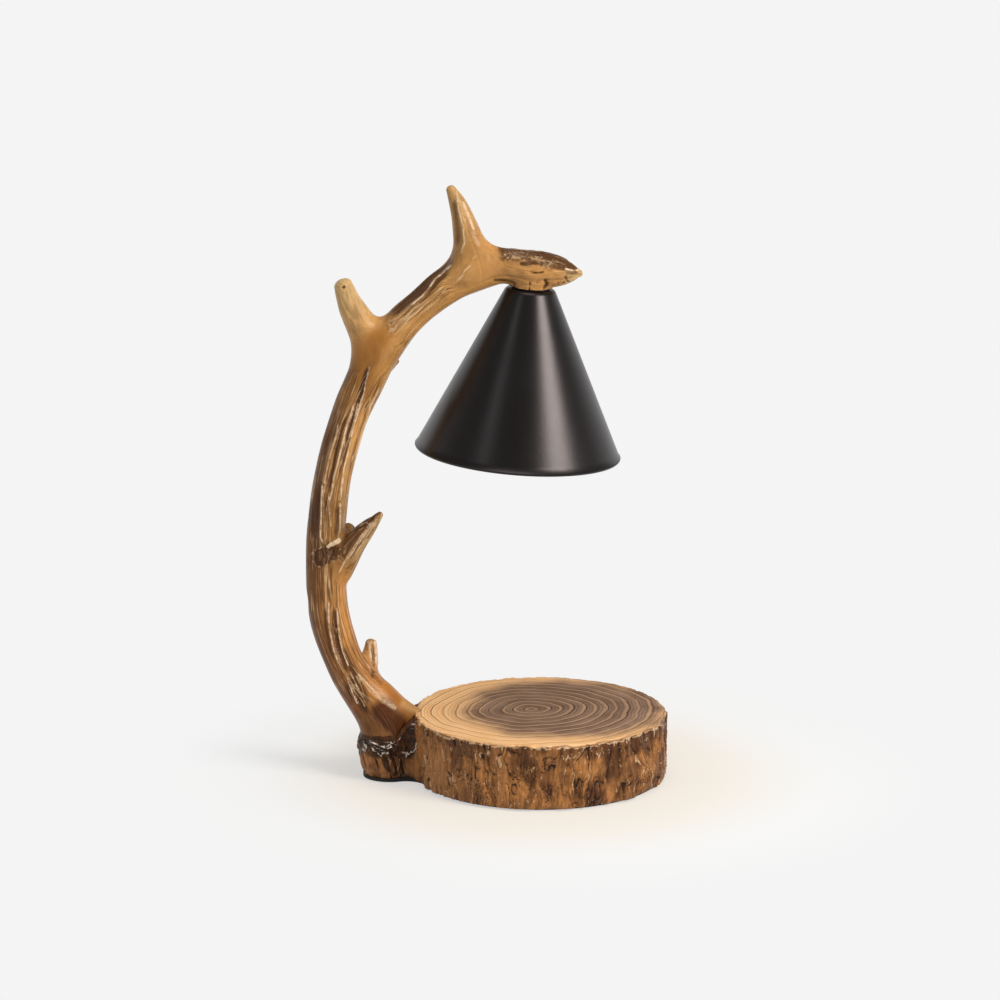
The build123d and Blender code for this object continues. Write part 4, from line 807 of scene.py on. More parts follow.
def slice_shell(settings):
    """The slice's closed shell: recesses underneath, wall with bark, ragged rim and sawn face, with its masks."""
    depth = settings.bark_depth / MM
    cols = 1040
    turn = np.linspace(0, 2 * math.pi, cols, endpoint=False)
    girth = 2 * math.pi * SLICE_RADIUS
    arc = turn * SLICE_RADIUS
    wall_z = np.linspace(SLICE_UNDERSIDE, SLICE_TOP - 1.4, 50)
    a, h = np.meshgrid(arc, wall_z)
    relief, cavity, crest, tone = bark(a, h, girth, 40, depth, SLICE_TOP)
    tone = np.clip(tone - 0.24 * np.cos(turn) + 0.02, 0, 1)
    foot = ease(SLICE_UNDERSIDE + 2.4, SLICE_UNDERSIDE, h)
    ragged = layered(arc / girth * 90, arc * 0 + 2.5, 90, 68, 3)
    frayed = layered(a / girth * 260, h / 1.6, 260, 69, 2)
    brushed_rim = ease(SLICE_TOP - 3.6 + 2.0 * ragged, SLICE_TOP - 2.2 + 1.2 * ragged, h)
    crest = np.maximum(crest, brushed_rim * ease(0.30, 0.52, frayed))
    bulge = 1.6 * bell((np.degrees(turn) - 105.0), 58.0)
    radius = SLICE_RADIUS + bulge + relief - 0.9 * foot
    chips = layered(arc / girth * 80, arc * 0 + 1.5, 80, 61, 3)
    lip = SLICE_RADIUS + bulge - 0.1 + 2.2 * (chips - 0.5) + 0.25 * relief[-1]
    underside = [(53.8, RECESS_TOP), (COVER_RADIUS, RECESS_TOP), (COVER_RADIUS, PAD_SEAT), (PAD_RADIUS, PAD_SEAT),
                 (PAD_RADIUS, SLICE_UNDERSIDE)]
    rows = [ring_row(cols, r, z, (0.5, 0, 0.5, 0)) for r, z in underside]
    for row in zip(radius, wall_z, zip(cavity, crest, tone, 0 * wall_z)):
        rows.append(ring_row(cols, *row))
    dip = 1.1 * ease(0.50, 0.80, layered(arc / girth * 63, arc * 0 + 4.5, 63, 66, 3))
    # Set-in from the rim, height above the face, and how far the face's wood shows
    top = [(0.15, -0.85, 0.0), (0.30, -0.40, 0.55), (0.62, -0.14, 0.95), (1.0, -0.02, 1.0), (1.7, 0.0, 1.0),
           (3.0, 0.0, 1.0)]
    flat = 1.0 - np.linspace(0.08, 1.0, 12, endpoint=False)
    bright = ease(0.40, 0.62, layered(arc / girth * 120, arc * 0 + 8.5, 120, 67, 3))
    for inset, drop, sawn in top:
        r = np.minimum(lip, radius[-1] + 0.4) - inset
        z = SLICE_TOP + drop - dip * ease(2.2, 0.2, inset)
        rows.append(ring_row(cols, r, z, (0, (1 - sawn) * bright, tone[-1] + 0.4 * (1 - sawn), sawn)))
    edge = rows[-1][0]
    rows += [ring_row(cols, edge * share, SLICE_TOP, (0, 0, 0.5, 1)) for share in flat]
    r, z, masks = row_tables(rows)
    points, faces = closed_tube(np.stack([r * np.cos(turn), r * np.sin(turn), z], -1))
    points[-2] = (0.0, 0.0, RECESS_TOP)
    points[-1] = (0.0, 0.0, SLICE_TOP)
    return (points, faces), np.concatenate([masks, [[0, 0], [0, 0], [0.5, 0.5], [0, 1]]], 1)


def stump_reach(turn):
    """Outline of the stump seen from its middle: where a ray leaves the stump and slice joined by a fillet.

    The joined distance is f - sqrt((f - a)^2 + (f - b)^2) for the distances a, b to the two circles,
    taken where both are under the fillet f, and each ray is walked out until it is zero.
    """
    reach = np.full(turn.shape, STUMP_RADIUS)
    for _ in range(60):
        x = FOOT[0] + reach * np.cos(turn)
        y = reach * np.sin(turn)
        a = np.hypot(x - FOOT[0], y) - STUMP_RADIUS
        b = np.hypot(x, y) - (SLICE_RADIUS - 0.6)
        pa, pb = np.maximum(STUMP_FILLET - a, 0), np.maximum(STUMP_FILLET - b, 0)
        gap = np.maximum(STUMP_FILLET, np.minimum(a, b)) - np.hypot(pa, pb)
        reach = np.clip(reach - 0.6 * gap, STUMP_RADIUS - 1, 27.0)
    return reach


def stump_height(x):
    """Height of the stump's top: flat under the antler, then rising to the slice's rim."""
    return FOOT[1] + 0.3 + np.clip((x + 80.5) / 9.0, 0, 1) * (SLICE_TOP - FOOT[1] - 0.8)


def stump_shell(settings):
    """The stump's closed shell: wall with bark, rounded shoulder and top under the antler's foot, with its masks."""
    depth = settings.bark_depth / MM
    cols = 360
    turn = np.linspace(0, 2 * math.pi, cols, endpoint=False)
    reach = stump_reach(turn)
    girth = 2 * math.pi * 20.0
    arc = turn * 20.0
    top = stump_height(FOOT[0] + reach * np.cos(turn)) - 2.6
    share = np.linspace(0, 1, 38)[:, None]
    h = SLICE_UNDERSIDE + share * (top - SLICE_UNDERSIDE)
    a = np.broadcast_to(arc, h.shape)
    relief, cavity, crest, tone = bark(a, h, girth, 140, depth, FOOT[1] + 1.0)
    relief = relief * 0.9 + 0.8 * ease(14, 24, h) * (ripple(a / girth * 13, h / 6.0, 13, 77) - 0.4)
    web = ease(18.0, 23.0, reach)
    collar = ease(13.0 + 10 * web, 18.0 + 10 * web, h + 7 * (layered(a / girth * 13, h / 9.0, 13, 78, 2) - 0.5))
    wave = layered(a / girth * 15, h / 7.0, 15, 171, 3)
    crumbs = lumps(np.stack([a, h * 1.3, 0 * h], -1).reshape(-1, 3), 1.5, 12).reshape(h.shape)
    relief += collar * (2.6 * (wave - 0.5) + 0.5 * (crumbs - 0.5))
    slit = ripple((a + 0.35 * h) / girth * 52, h / 11.0, 52, 172)
    slit = ease(0.52, 0.34, slit) * (1 - collar) * ease(2.0, 5.0, h)
    relief -= 1.1 * slit
    cavity = np.clip(cavity * (1 - 0.3 * collar) + 0.9 * slit, 0, 1)
    crest = crest * (1 - 0.8 * collar)
    x = FOOT[0] + (reach - 1.0) * np.cos(turn) + 0 * h
    off, on = np.full(h.shape, FAR), np.zeros(h.shape)
    # Painted highlights on the collar, stored as distance and strength for the material
    for course in COLLAR_HIGHLIGHTS:
        d, t, way = course_distance(x, h, course)
        shown = ease(3.0, 2.0, d) * ease(0, 0.08, t) * ease(1, 0.92, t) * (np.sin(turn) < 0)
        relief += 0.5 * bell(d, 0.9) * shown
        off, on = np.where(d < np.abs(off), way * d, off), np.where(d < np.abs(off), shown, on)
    spots = layered(a / girth * 44, h / 2.4, 44, 177, 2)
    # The web between stump and slice is painted lighter: a painted fill light against the slice's own shadow
    cavity = np.maximum(cavity * (1 - 0.45 * web * (1 - collar)), collar * (0.42 + 0.50 * ease(0.64, 0.38, spots)))
    tone = np.clip(tone * (1 - collar) + 0.45 * web, 0, 1)
    tuck = 2.6 * ease(9.0, 0.0, h) + 0.9 * ease(3.0, 0.0, h)
    tuck = tuck + 1.3 * ease(20.0, 27.0, h) * (1 - web) - 0.6 * bell(h - 15.0, 6.0)
    radius = reach + relief - tuck
    shoulder = reach - 3.4
    underside = [(NUT_RECESS, RECESS_TOP), (NUT_RECESS, PAD_SEAT), (reach - PAD_INSET, PAD_SEAT),
                 (reach - PAD_INSET, SLICE_UNDERSIDE)]
    rows = [ring_row(cols, r, z, (0.5, 0, 0.5, 0, FAR, 0)) for r, z in underside]
    for row in zip(radius, h, zip(cavity, crest, tone, np.zeros(len(h)), off, on)):
        rows.append(ring_row(cols, *row))
    bumpy = layered(arc / girth * 38, arc * 0 + 1.5, 38, 161, 3) - 0.45
    for t in np.linspace(0, 1, 9)[1:]:
        swell = math.sin(t * math.pi / 2)
        r = radius[-1] * (1 - t) + shoulder * t + 1.2 * swell * (1 - t)
        rise = stump_height(FOOT[0] + r * np.cos(turn)) - stump_height(FOOT[0] + reach * np.cos(turn))
        z = top + 2.9 * swell + rise * t + 2.4 * bumpy * math.sin(t * math.pi) + 0.6 * bumpy
        light = np.clip(0.8 * ease(0.05, 0.25, bumpy) * t, 0, 1)
        rows.append(ring_row(cols, r, z, (cavity[-1] * (1 - 0.5 * t), light, tone[-1] * 0.5, 0, FAR, 0)))
    for inner in (0.75, 0.45, 0.15):
        z = stump_height(FOOT[0] + shoulder * inner * np.cos(turn)) - 0.5
        rows.append(ring_row(cols, shoulder * inner, z, (0.8, 0, 0.5, 0, FAR, 0)))
    r, z, masks = row_tables(rows)
    x, y = FOOT[0] + r * np.cos(turn), r * np.sin(turn)
    z = np.where(np.hypot(x, y) < SLICE_RADIUS - 1.5, np.minimum(z, SLICE_TOP - 0.4), z)  # under the sawn face
    ends = [[0, 0], [0, 0], [0.5, 0.5], [0, 0], [FAR, FAR], [0, 0]]
    return closed_tube(np.stack([x, y, z], -1)), np.concatenate([masks, ends], 1)


def build_slice(settings):
    """The slice and its stump as one casting of two overlapping closed shells."""
    slice_part, slice_masks = slice_shell(settings)
    stump_part, stump_masks = stump_shell(settings)
    mesh = mesh_from("slice_casting", *joined([slice_part, stump_part]))
    masks = np.concatenate([np.pad(slice_masks, ((0, 2), (0, 0))), stump_masks], 1)
    for name, values in zip(("cavity", "crest", "tone", "sawn", "off", "on"), masks):
        keep(mesh, name, values)
    return place("slice_casting", mesh, bark_resin(settings), "bark_resin", "root", "base_slice")


# ---- shade and bulb -------------------------------------------------------------------------------
def turned(r, z, around):
    """Rows turned about the shade's axis; radius and height are given per row, or per row and turn."""
    turn = np.linspace(0, 2 * math.pi, around, endpoint=False)
    r, z, turn = np.broadcast_arrays(r.reshape(len(r), -1), z.reshape(len(z), -1), turn)
    return shade_frame(r, turn, z)


def arc_points(cx, cz, radius, start, end, count):
    """Points on a circle between two angles in degrees."""
    a = np.radians(np.linspace(start, end, count))
    return [(cx + radius * math.cos(t), cz + radius * math.sin(t)) for t in a]


def build_shade(settings):
    """Spun cone: flat top, rounded shoulder, straight wall and a bead rolled in at the rim."""
    top_r, rim_r, height, wall, bead = 13.4, 57.0, 92.8, 1.0, 1.1
    slant = math.atan2(rim_r - top_r, height)
    side = wall / math.cos(slant)
    reach = 3.0 * math.tan((math.pi / 2 - slant) / 2)
    outer = [(5.1, 0.0), (5.3, 0.0), (8.0, 0.0), (top_r - reach - 0.2, 0.0)]
    outer += arc_points(top_r - reach, -3.0, 3.0, 90, math.degrees(slant), 9)
    low = -height + 0.3
    first = outer[-1]
    for t in np.linspace(0.02, 0.985, 26):
        outer.append((first[0] + t * (rim_r - first[0]), first[1] + t * (low - first[1])))
    outer += arc_points(rim_r - bead, -height + bead, bead, 10, -190, 13)
    inner_top = (top_r + wall * math.tan(slant) - side, -wall)
    inner = []
    for t in np.linspace(0.03, 0.93, 14):
        inner.append((rim_r - side - t * (rim_r - side - inner_top[0]), -height + t * (height - wall)))
    inner += [(inner_top[0] - 1.6, -wall - 0.25), (inner_top[0] - 2.6, -wall), (8.0, -wall), (5.3, -wall), (5.1, -wall)]
    mesh = mesh_from("spun_shade", *looped_tube(turned(*np.array(outer + inner).T, 288)), turn_over=True)
    mesh.set_sharp_from_angle(angle=math.radians(50))
    return place("spun_shade", mesh, shade_paint(settings), "shade_paint", "root", "shade")


def build_reflector():
    """Pressed bowl with rows of facets inside, a smooth outside and a straight rim."""
    around, rings, cells, wall = 240, 9, 36, 1.25
    turn = np.linspace(0, 2 * math.pi, around, endpoint=False)
    neck, lip = -43.9, LENS_FACE + 2.0
    knots = np.array([0.0, 0.25, 0.62, 1.0])
    radii = np.array([[11.5], [16.9], [22.6], [BULB_RADIUS]])
    t = np.linspace(0, 1, 60)
    outside = spline_through(knots, radii, t)[:, 0]
    heights = neck + t * (LENS_FACE + 4.0 - neck)
    row = t * rings
    col = turn / (2 * math.pi) * cells
    staggered = col[None] + 0.5 * (np.floor(row)[:, None] % 2)
    dent = 0.32 * (np.abs(np.sin(math.pi * row))[:, None] * np.abs(np.sin(math.pi * staggered)))
    fade_out = ease(0.02, 0.1, t) * ease(1.0, 0.95, t)
    inside = (outside - wall)[:, None] + dent * fade_out[:, None]
    straight = np.repeat([[BULB_RADIUS], [BULB_RADIUS], [23.8], [23.8]], around, 1)
    r = np.concatenate([np.repeat(outside[:, None], around, 1), straight, inside[::-1]])
    z = np.concatenate([heights, [lip, LENS_FACE, LENS_FACE, lip], heights[::-1]])
    mesh = mesh_from("reflector_bowl", *looped_tube(turned(r, z, around)), turn_over=True)
    mesh.set_sharp_from_angle(angle=math.radians(40))
    return place("reflector_bowl", mesh, reflector_glass(), "reflector_glass", "bulb", "bulb_reflector")


def build_lens():
    """Front glass: a disc with a stippled back, its rim ground round."""
    around = 240
    turn = np.linspace(0, 2 * math.pi, around, endpoint=False)
    back = LENS_FACE + 2.5
    r = np.concatenate([np.linspace(23.7, 0.6, 44), [0.6], np.linspace(1.0, 23.3, 30), [23.7]])[:, None]
    z = np.concatenate([np.full(44, LENS_FACE + 0.5), [back - 0.2], np.full(30, back), [back - 0.3]])[:, None]
    wave = 0.14 * np.sin(r * math.pi / 1.6) * np.sin(turn * 36)
    inside = ease(back - 0.1, back, z) * ease(1.0, 5.0, r) * ease(23.4, 21.0, r)
    mesh = mesh_from("front_glass", *looped_tube(turned(r, z + wave * inside, around)))
    return place("front_glass", mesh, lens_glass(), "lens_glass", "bulb", "bulb_lens")


# ---- shader helpers -------------------------------------------------------------------------------
def connect(tree, socket, value):
    """Joins another node's output to the socket, or sets the socket to a number or a colour."""
    if isinstance(value, bpy.types.NodeSocket):
        tree.links.new(value, socket)
    else:
        socket.default_value = value


def put(tree, kind, sockets=None, **settings):
    """Adds a shader node and gives each named socket a number, a colour or another node's output."""
    node = tree.nodes.new("ShaderNode" + kind)
    for name, value in settings.items():
        setattr(node, name, value)
    for name, value in (sockets or {}).items():
        connect(tree, node.inputs[name], value)
    return node


def calc(tree, operation, *values):
    """Output of a Math node."""
    return put(tree, "Math", dict(enumerate(values)), operation=operation).outputs[0]


def span(tree, value, low, high, start=0.0, end=1.0):
    """Output of a smooth Map Range node: `start` up to low, `end` from high on."""
    sockets = {"Value": value, "From Min": low, "From Max": high, "To Min": start, "To Max": end}
    return put(tree, "MapRange", sockets, interpolation_type="SMOOTHSTEP").outputs[0]


def mix(tree, share, a, b, kind="MIX"):
    """Output of a colour Mix node."""
    return put(tree, "Mix", {0: share, 6: a, 7: b}, data_type="RGBA", blend_type=kind).outputs[2]


def times(tree, a, b):
    """Product of two values."""
    return calc(tree, "MULTIPLY", a, b)


def minus(tree, a, b):
    """Difference of two values."""
    return calc(tree, "SUBTRACT", a, b)


def stirred(tree, value, by, amount):
    """The value, moved by how far another one lies from a half."""
    return calc(tree, "MULTIPLY_ADD", minus(tree, by, 0.5), amount, value)


def stripe(tree, value, middle, outer, inner):
    """1 within `inner` of the middle value, 0 past `outer` from it."""
    return span(tree, calc(tree, "ABSOLUTE", minus(tree, value, middle)), outer, inner)


def coat(tree, colour, mask, strength, paint):
    """The colour under a paint that is this strong where the mask is 1."""
    return mix(tree, times(tree, mask, strength), colour, paint)


def dimmed(tree, colour, factor):
    """The colour with its three channels times one factor."""
    grey = put(tree, "CombineColor", {0: factor, 1: factor, 2: factor}).outputs[0]
    return mix(tree, 1.0, colour, grey, "MULTIPLY")


def noise(tree, place_from, scale, detail=3.0, rough=0.5, warp=0.0):
    """Output value of a Noise node."""
    sockets = {"Vector": place_from, "Scale": scale, "Detail": detail, "Roughness": rough, "Distortion": warp}
    return put(tree, "TexNoise", sockets).outputs["Fac"]


def stored(tree, name):
    """Value that the mesh keeps under this name."""
    return put(tree, "Attribute", attribute_name=name).outputs["Fac"]


def stored_vector(tree, name):
    """Vector that the mesh keeps under this name."""
    return put(tree, "Attribute", attribute_name=name).outputs["Vector"]


def stretched(tree, vector, scale):
    """The vector with its axes scaled."""
    return put(tree, "Mapping", {"Vector": vector, "Scale": scale}).outputs[0]


def own_place(tree):
    """Object coordinates, which are the frame's own metres."""
    return put(tree, "TexCoord").outputs["Object"]


def bump(tree, height, strength, distance):
    """Normal raised by a height."""
    return put(tree, "Bump", {"Height": height, "Strength": strength, "Distance": distance}).outputs[0]


def emptied(kept, name):
    """The material or world of this name, made if need be, and its emptied node tree."""
    block = kept.get(name) or kept.new(name)
    block.use_nodes = True
    block.node_tree.nodes.clear()
    return block, block.node_tree


def shader(name):
    """An emptied material with its Principled shader joined to the output."""
    material, tree = emptied(bpy.data.materials, name)
    surface = put(tree, "BsdfPrincipled")
    put(tree, "OutputMaterial", {"Surface": surface.outputs[0]})
    return material, tree, surface


def feed(tree, surface, **values):
    """Sets the Principled shader's sockets, whose names are written with underscores."""
    for name, value in values.items():
        connect(tree, surface.inputs[name.replace("_", " ")], value)


def rgb(colour, times=1.0):
    """A colour with its alpha, its brightness scaled."""
    return (*[channel * times for channel in colour[:3]], 1.0)


def group(name, inputs, outputs, fill):
    """A shader node group of this name, filled by a function that returns its outputs' sockets."""
    tree = bpy.data.node_groups.get(name)
    if tree is None:
        tree = bpy.data.node_groups.new(name, "ShaderNodeTree")
        for label, kind, default in inputs:
            socket = tree.interface.new_socket(label, in_out="INPUT", socket_type=kind)
            if default is not None:
                socket.default_value = default
        for label, kind in outputs:
            tree.interface.new_socket(label, in_out="OUTPUT", socket_type=kind)
        source = tree.nodes.new("NodeGroupInput").outputs
        target = tree.nodes.new("NodeGroupOutput").inputs
        for label, socket in fill(tree, source).items():
            tree.links.new(socket, target[label])
    return tree


def use(tree, made, **values):
    """Outputs of a node of this group."""
    return put(tree, "Group", values, node_tree=made).outputs


def grain_group():
    """Moulded or cast surface: a fine grain, a broad mottle and a soft tint of the colour."""

    def fill(tree, source):
        here = own_place(tree)
        fine = noise(tree, here, source["Density"], 4.0, 0.6)
        broad = noise(tree, here, times(tree, source["Density"], 0.06), 3.0)
        shift = span(tree, broad, 0.3, 0.7, 0.86, 1.12)
        return {"Height": fine, "Mottle": broad, "Tint": mix(tree, 1.0, source["Colour"], shift, "MULTIPLY")}

    inputs = [("Colour", "NodeSocketColor", (0.5, 0.5, 0.5, 1.0)), ("Density", "NodeSocketFloat", 1500.0)]
    outputs = [("Height", "NodeSocketFloat"), ("Mottle", "NodeSocketFloat"), ("Tint", "NodeSocketColor")]
    return group("Cast grain", inputs, outputs, fill)


def metal_group():
    """Plated or drawn metal: fine scratches along one axis, cloudy patches and a tarnish tint."""

    def fill(tree, source):
        here = own_place(tree)
        scratch = noise(tree, stretched(tree, here, (1.0, 1.0, 0.05)), source["Density"], 5.0, 0.65)
        cloud = noise(tree, here, 160.0, 4.0, 0.6)
        tint = mix(tree, span(tree, cloud, 0.45, 0.75), source["Colour"], source["Tarnish"])
        return {"Height": scratch, "Cloud": cloud, "Tint": tint}

    inputs = [("Colour", "NodeSocketColor", (0.6, 0.6, 0.6, 1.0)), ("Tarnish", "NodeSocketColor", (0.4, 0.4, 0.4, 1.0)),
              ("Density", "NodeSocketFloat", 5000.0)]
    outputs = [("Height", "NodeSocketFloat"), ("Cloud", "NodeSocketFloat"), ("Tint", "NodeSocketColor")]
    return group("Metal finish", inputs, outputs, fill)


# ---- materials ------------------------------------------------------------------------------------
def antler_resin(settings):
    """Hand-painted resin: golden brown, dark flutes, pale dry-brushed ridges, painted highlights on the foot, the toe,
    the boss's pits and some ridges, a satin lacquer.
    """
    material, tree, surface = shader("antler_resin")
    main = settings.antler_colour
    here = own_place(tree)
    grain = stored_vector(tree, "grain")
    gold, stain, pale_marks, fluted = (stored(tree, n) for n in ("gold", "stain", "pale_marks", "fluted"))
    fibre = noise(tree, grain, 900.0, 4.0, 0.62)
    line = put(tree, "SeparateXYZ", {0: stored_vector(tree, "line")}).outputs
    even = minus(tree, 1.0, times(tree, line[2], 0.75))
    fibre = stirred(tree, 0.5, fibre, even)
    strand = noise(tree, stretched(tree, grain, (1.0, 1.0, 0.22)), 380.0, 2.0, 0.45, 0.15)
    cloud = noise(tree, here, 95.0, 4.0, 0.55)
    speck = noise(tree, here, 1500.0, 3.0, 0.6)
    brown = rgb([main[0] * 0.38, main[1] * 0.30, main[2] * 0.29])
    broad = noise(tree, here, 42.0, 2.0, 0.5)
    amount = stirred(tree, gold, cloud, 0.6)
    amount = stirred(tree, amount, fibre, 0.35)
    colour = mix(tree, span(tree, amount, -0.05, 1.05), brown, rgb(main, 1.10))
    colour = coat(tree, colour, stored(tree, "amber"), 0.88, rgb((main[0] * 0.74, main[1] * 0.60, main[2] * 0.34)))
    colour = coat(tree, colour, stored(tree, "pale"), 0.72, rgb((0.62, 0.42, 0.19)))
    deep = stirred(tree, stored(tree, "red"), cloud, 0.7)
    deep = stirred(tree, deep, fibre, 0.9)
    deep = times(tree, span(tree, deep, 0.10, 1.05), span(tree, stored(tree, "red"), 0.0, 0.15))
    colour = coat(tree, colour, deep, 0.95, rgb((0.060, 0.015, 0.004)))
    plain = minus(tree, 1.0, times(tree, stored(tree, "red"), 0.8))
    streak = calc(tree, "MULTIPLY_ADD", minus(tree, span(tree, fibre, 0.32, 0.70, 0.82, 1.16), 1.0), plain, 1.0)
    streak = times(tree, streak, span(tree, broad, 0.30, 0.70, 0.80, 1.16))
    low = span(tree, put(tree, "SeparateXYZ", {0: here}).outputs[2], 0.17, 0.06, 0.0, 0.75)
    colour = mix(tree, low, colour, mix(tree, 1.0, colour, rgb((1.02, 0.84, 0.66)), "MULTIPLY"))
    colour = dimmed(tree, colour, streak)
    patch = stirred(tree, stain, cloud, 0.5)
    patch = span(tree, stirred(tree, patch, fibre, 0.7), 0.12, 0.80)
    colour = coat(tree, colour, patch, 0.88, rgb((0.070, 0.024, 0.007)))
    furrow = times(tree, stripe(tree, strand, 0.44, 0.060, 0.010), times(tree, fluted, even))
    colour = coat(tree, colour, furrow, 0.62, rgb((0.085, 0.032, 0.010)))
    ridge = times(tree, stripe(tree, strand, 0.53, 0.040, 0.008), times(tree, fluted, even))
    ridge = times(tree, ridge, span(tree, cloud, 0.38, 0.60, 0.25, 1.0))
    colour = coat(tree, colour, ridge, 0.72, rgb((0.70, 0.47, 0.26)))
    # Pale dry-brushed paint, and painted highlights on the foot and on the boss's pits
    brushed = stirred(tree, pale_marks, speck, 0.7)
    brushed = span(tree, stirred(tree, brushed, fibre, 0.35), 0.34, 0.80)
    colour = coat(tree, colour, brushed, 0.88, rgb((0.80, 0.60, 0.38)))
    # Pale lines along the listed ridges: dry-brushed paint, partly painted highlights
    off = stirred(tree, line[0], fibre, 1.2)
    bright = times(tree, span(tree, calc(tree, "ABSOLUTE", off), 0.95, 0.45), line[1])
    bright = times(tree, bright, span(tree, noise(tree, here, 330.0, 2.0), 0.36, 0.56, 0.30, 1.0))
    colour = coat(tree, colour, bright, 0.85, rgb((0.80, 0.58, 0.39)))
    rough = calc(tree, "MULTIPLY_ADD", patch, 0.08, span(tree, cloud, 0.3, 0.7, 0.15, 0.28))
    height = calc(tree, "MULTIPLY_ADD", fibre, 0.5, times(tree, speck, 0.25))
    height = calc(tree, "MULTIPLY_ADD", minus(tree, ridge, furrow), 0.7, height)
    feed(tree, surface, Base_Color=colour, Roughness=rough, Specular_IOR_Level=0.14,
         Normal=bump(tree, height, 0.6, 0.0005))
    return material


def growth_rings(tree, here, spacing):
    """Distance from a pith beside the middle, bent by slow noises, and its ring number."""
    flat = put(tree, "Mapping", {"Vector": here, "Location": (0.005, -0.003, 0.0), "Scale": (1.0, 1.0, 0.0)}).outputs[0]
    drift = noise(tree, flat, 15.0, 2.0, 0.5)
    shiver = noise(tree, flat, 70.0, 3.0, 0.5)
    distance = put(tree, "VectorMath", {0: flat}, operation="LENGTH").outputs["Value"]
    bent = stirred(tree, distance, drift, 0.016)
    bent = stirred(tree, bent, shiver, 0.0030)
    return bent, calc(tree, "DIVIDE", bent, spacing), flat


def ring_line(tree, ring, middle, width):
    """1 on a thin line at this share of every ring."""
    return stripe(tree, calc(tree, "FRACT", ring), middle, width, width * 0.15)


def sawn_wood(tree, here, settings):
    """Colour and height of the sawn face: rings with pale and dark lines, a darker heart and pores."""
    wood = settings.wood_colour
    bent, ring, flat = growth_rings(tree, here, settings.ring_spacing)
    turn = put(tree, "SeparateXYZ", {0: flat}).outputs
    angle = calc(tree, "ARCTAN2", turn[1], turn[0])
    number = put(tree, "CombineXYZ", {0: calc(tree, "FLOOR", ring), 1: times(tree, turn[0], 14.0)}).outputs[0]
    strength = noise(tree, number, 1.7, 1.0)
    toward = calc(tree, "COSINE", calc(tree, "ADD", angle, -0.10))
    wide = calc(tree, "POWER", calc(tree, "MULTIPLY_ADD", toward, 0.5, 0.5), 1.2)
    edge = calc(tree, "MULTIPLY_ADD", wide, 0.041, 0.037)
    blot = noise(tree, flat, 45.0, 3.0, 0.55)
    past = minus(tree, stirred(tree, bent, blot, 0.022), edge)
    heart = span(tree, past, 0.012, -0.012)
    pale_top = mix(tree, span(tree, blot, 0.35, 0.65), rgb(wood), rgb((wood[0] * 0.94, wood[1] * 0.89, wood[2] * 0.82)))
    dark_top = mix(tree, span(tree, blot, 0.35, 0.65), rgb((0.228, 0.138, 0.092)), rgb((0.320, 0.202, 0.138)))
    top = mix(tree, heart, pale_top, dark_top)
    level = put(tree, "CombineXYZ", {0: ring, 1: times(tree, turn[0], 6.0)}).outputs[0]
    band = span(tree, noise(tree, level, 0.9, 2.0, 0.6), 0.34, 0.66, 0.86, 1.10)
    top = dimmed(tree, top, band)
    fine = times(tree, ring, 3.4)
    faint = ring_line(tree, fine, 0.5, 0.34)
    ring_brown = mix(tree, heart, rgb((0.50, 0.22, 0.085)), rgb((0.13, 0.065, 0.034)))
    top = coat(tree, top, faint, span(tree, heart, 0.0, 1.0, 0.22, 0.40), ring_brown)
    light = ring_line(tree, ring, 0.42, 0.22)
    light = times(tree, light, span(tree, strength, 0.30, 0.60, 0.35, 1.0))
    top = coat(tree, top, light, 0.80, mix(tree, heart, rgb((0.93, 0.60, 0.32)), rgb((0.50, 0.30, 0.175))))
    dark = ring_line(tree, ring, 0.62, 0.11)
    dark = times(tree, dark, span(tree, strength, 0.36, 0.56, 0.35, 1.0))
    top = coat(tree, top, dark, 0.62, mix(tree, heart, rgb((0.42, 0.18, 0.065)), rgb((0.095, 0.045, 0.022))))
    pore = noise(tree, flat, 1300.0, 3.0, 0.6)
    top = mix(tree, span(tree, pore, 0.62, 0.78, 0.0, 0.25), top, rgb((0.90, 0.66, 0.42)))
    dents = calc(tree, "MULTIPLY_ADD", dark, 0.6, times(tree, faint, 0.2))
    return top, minus(tree, times(tree, pore, 0.15), dents), pore


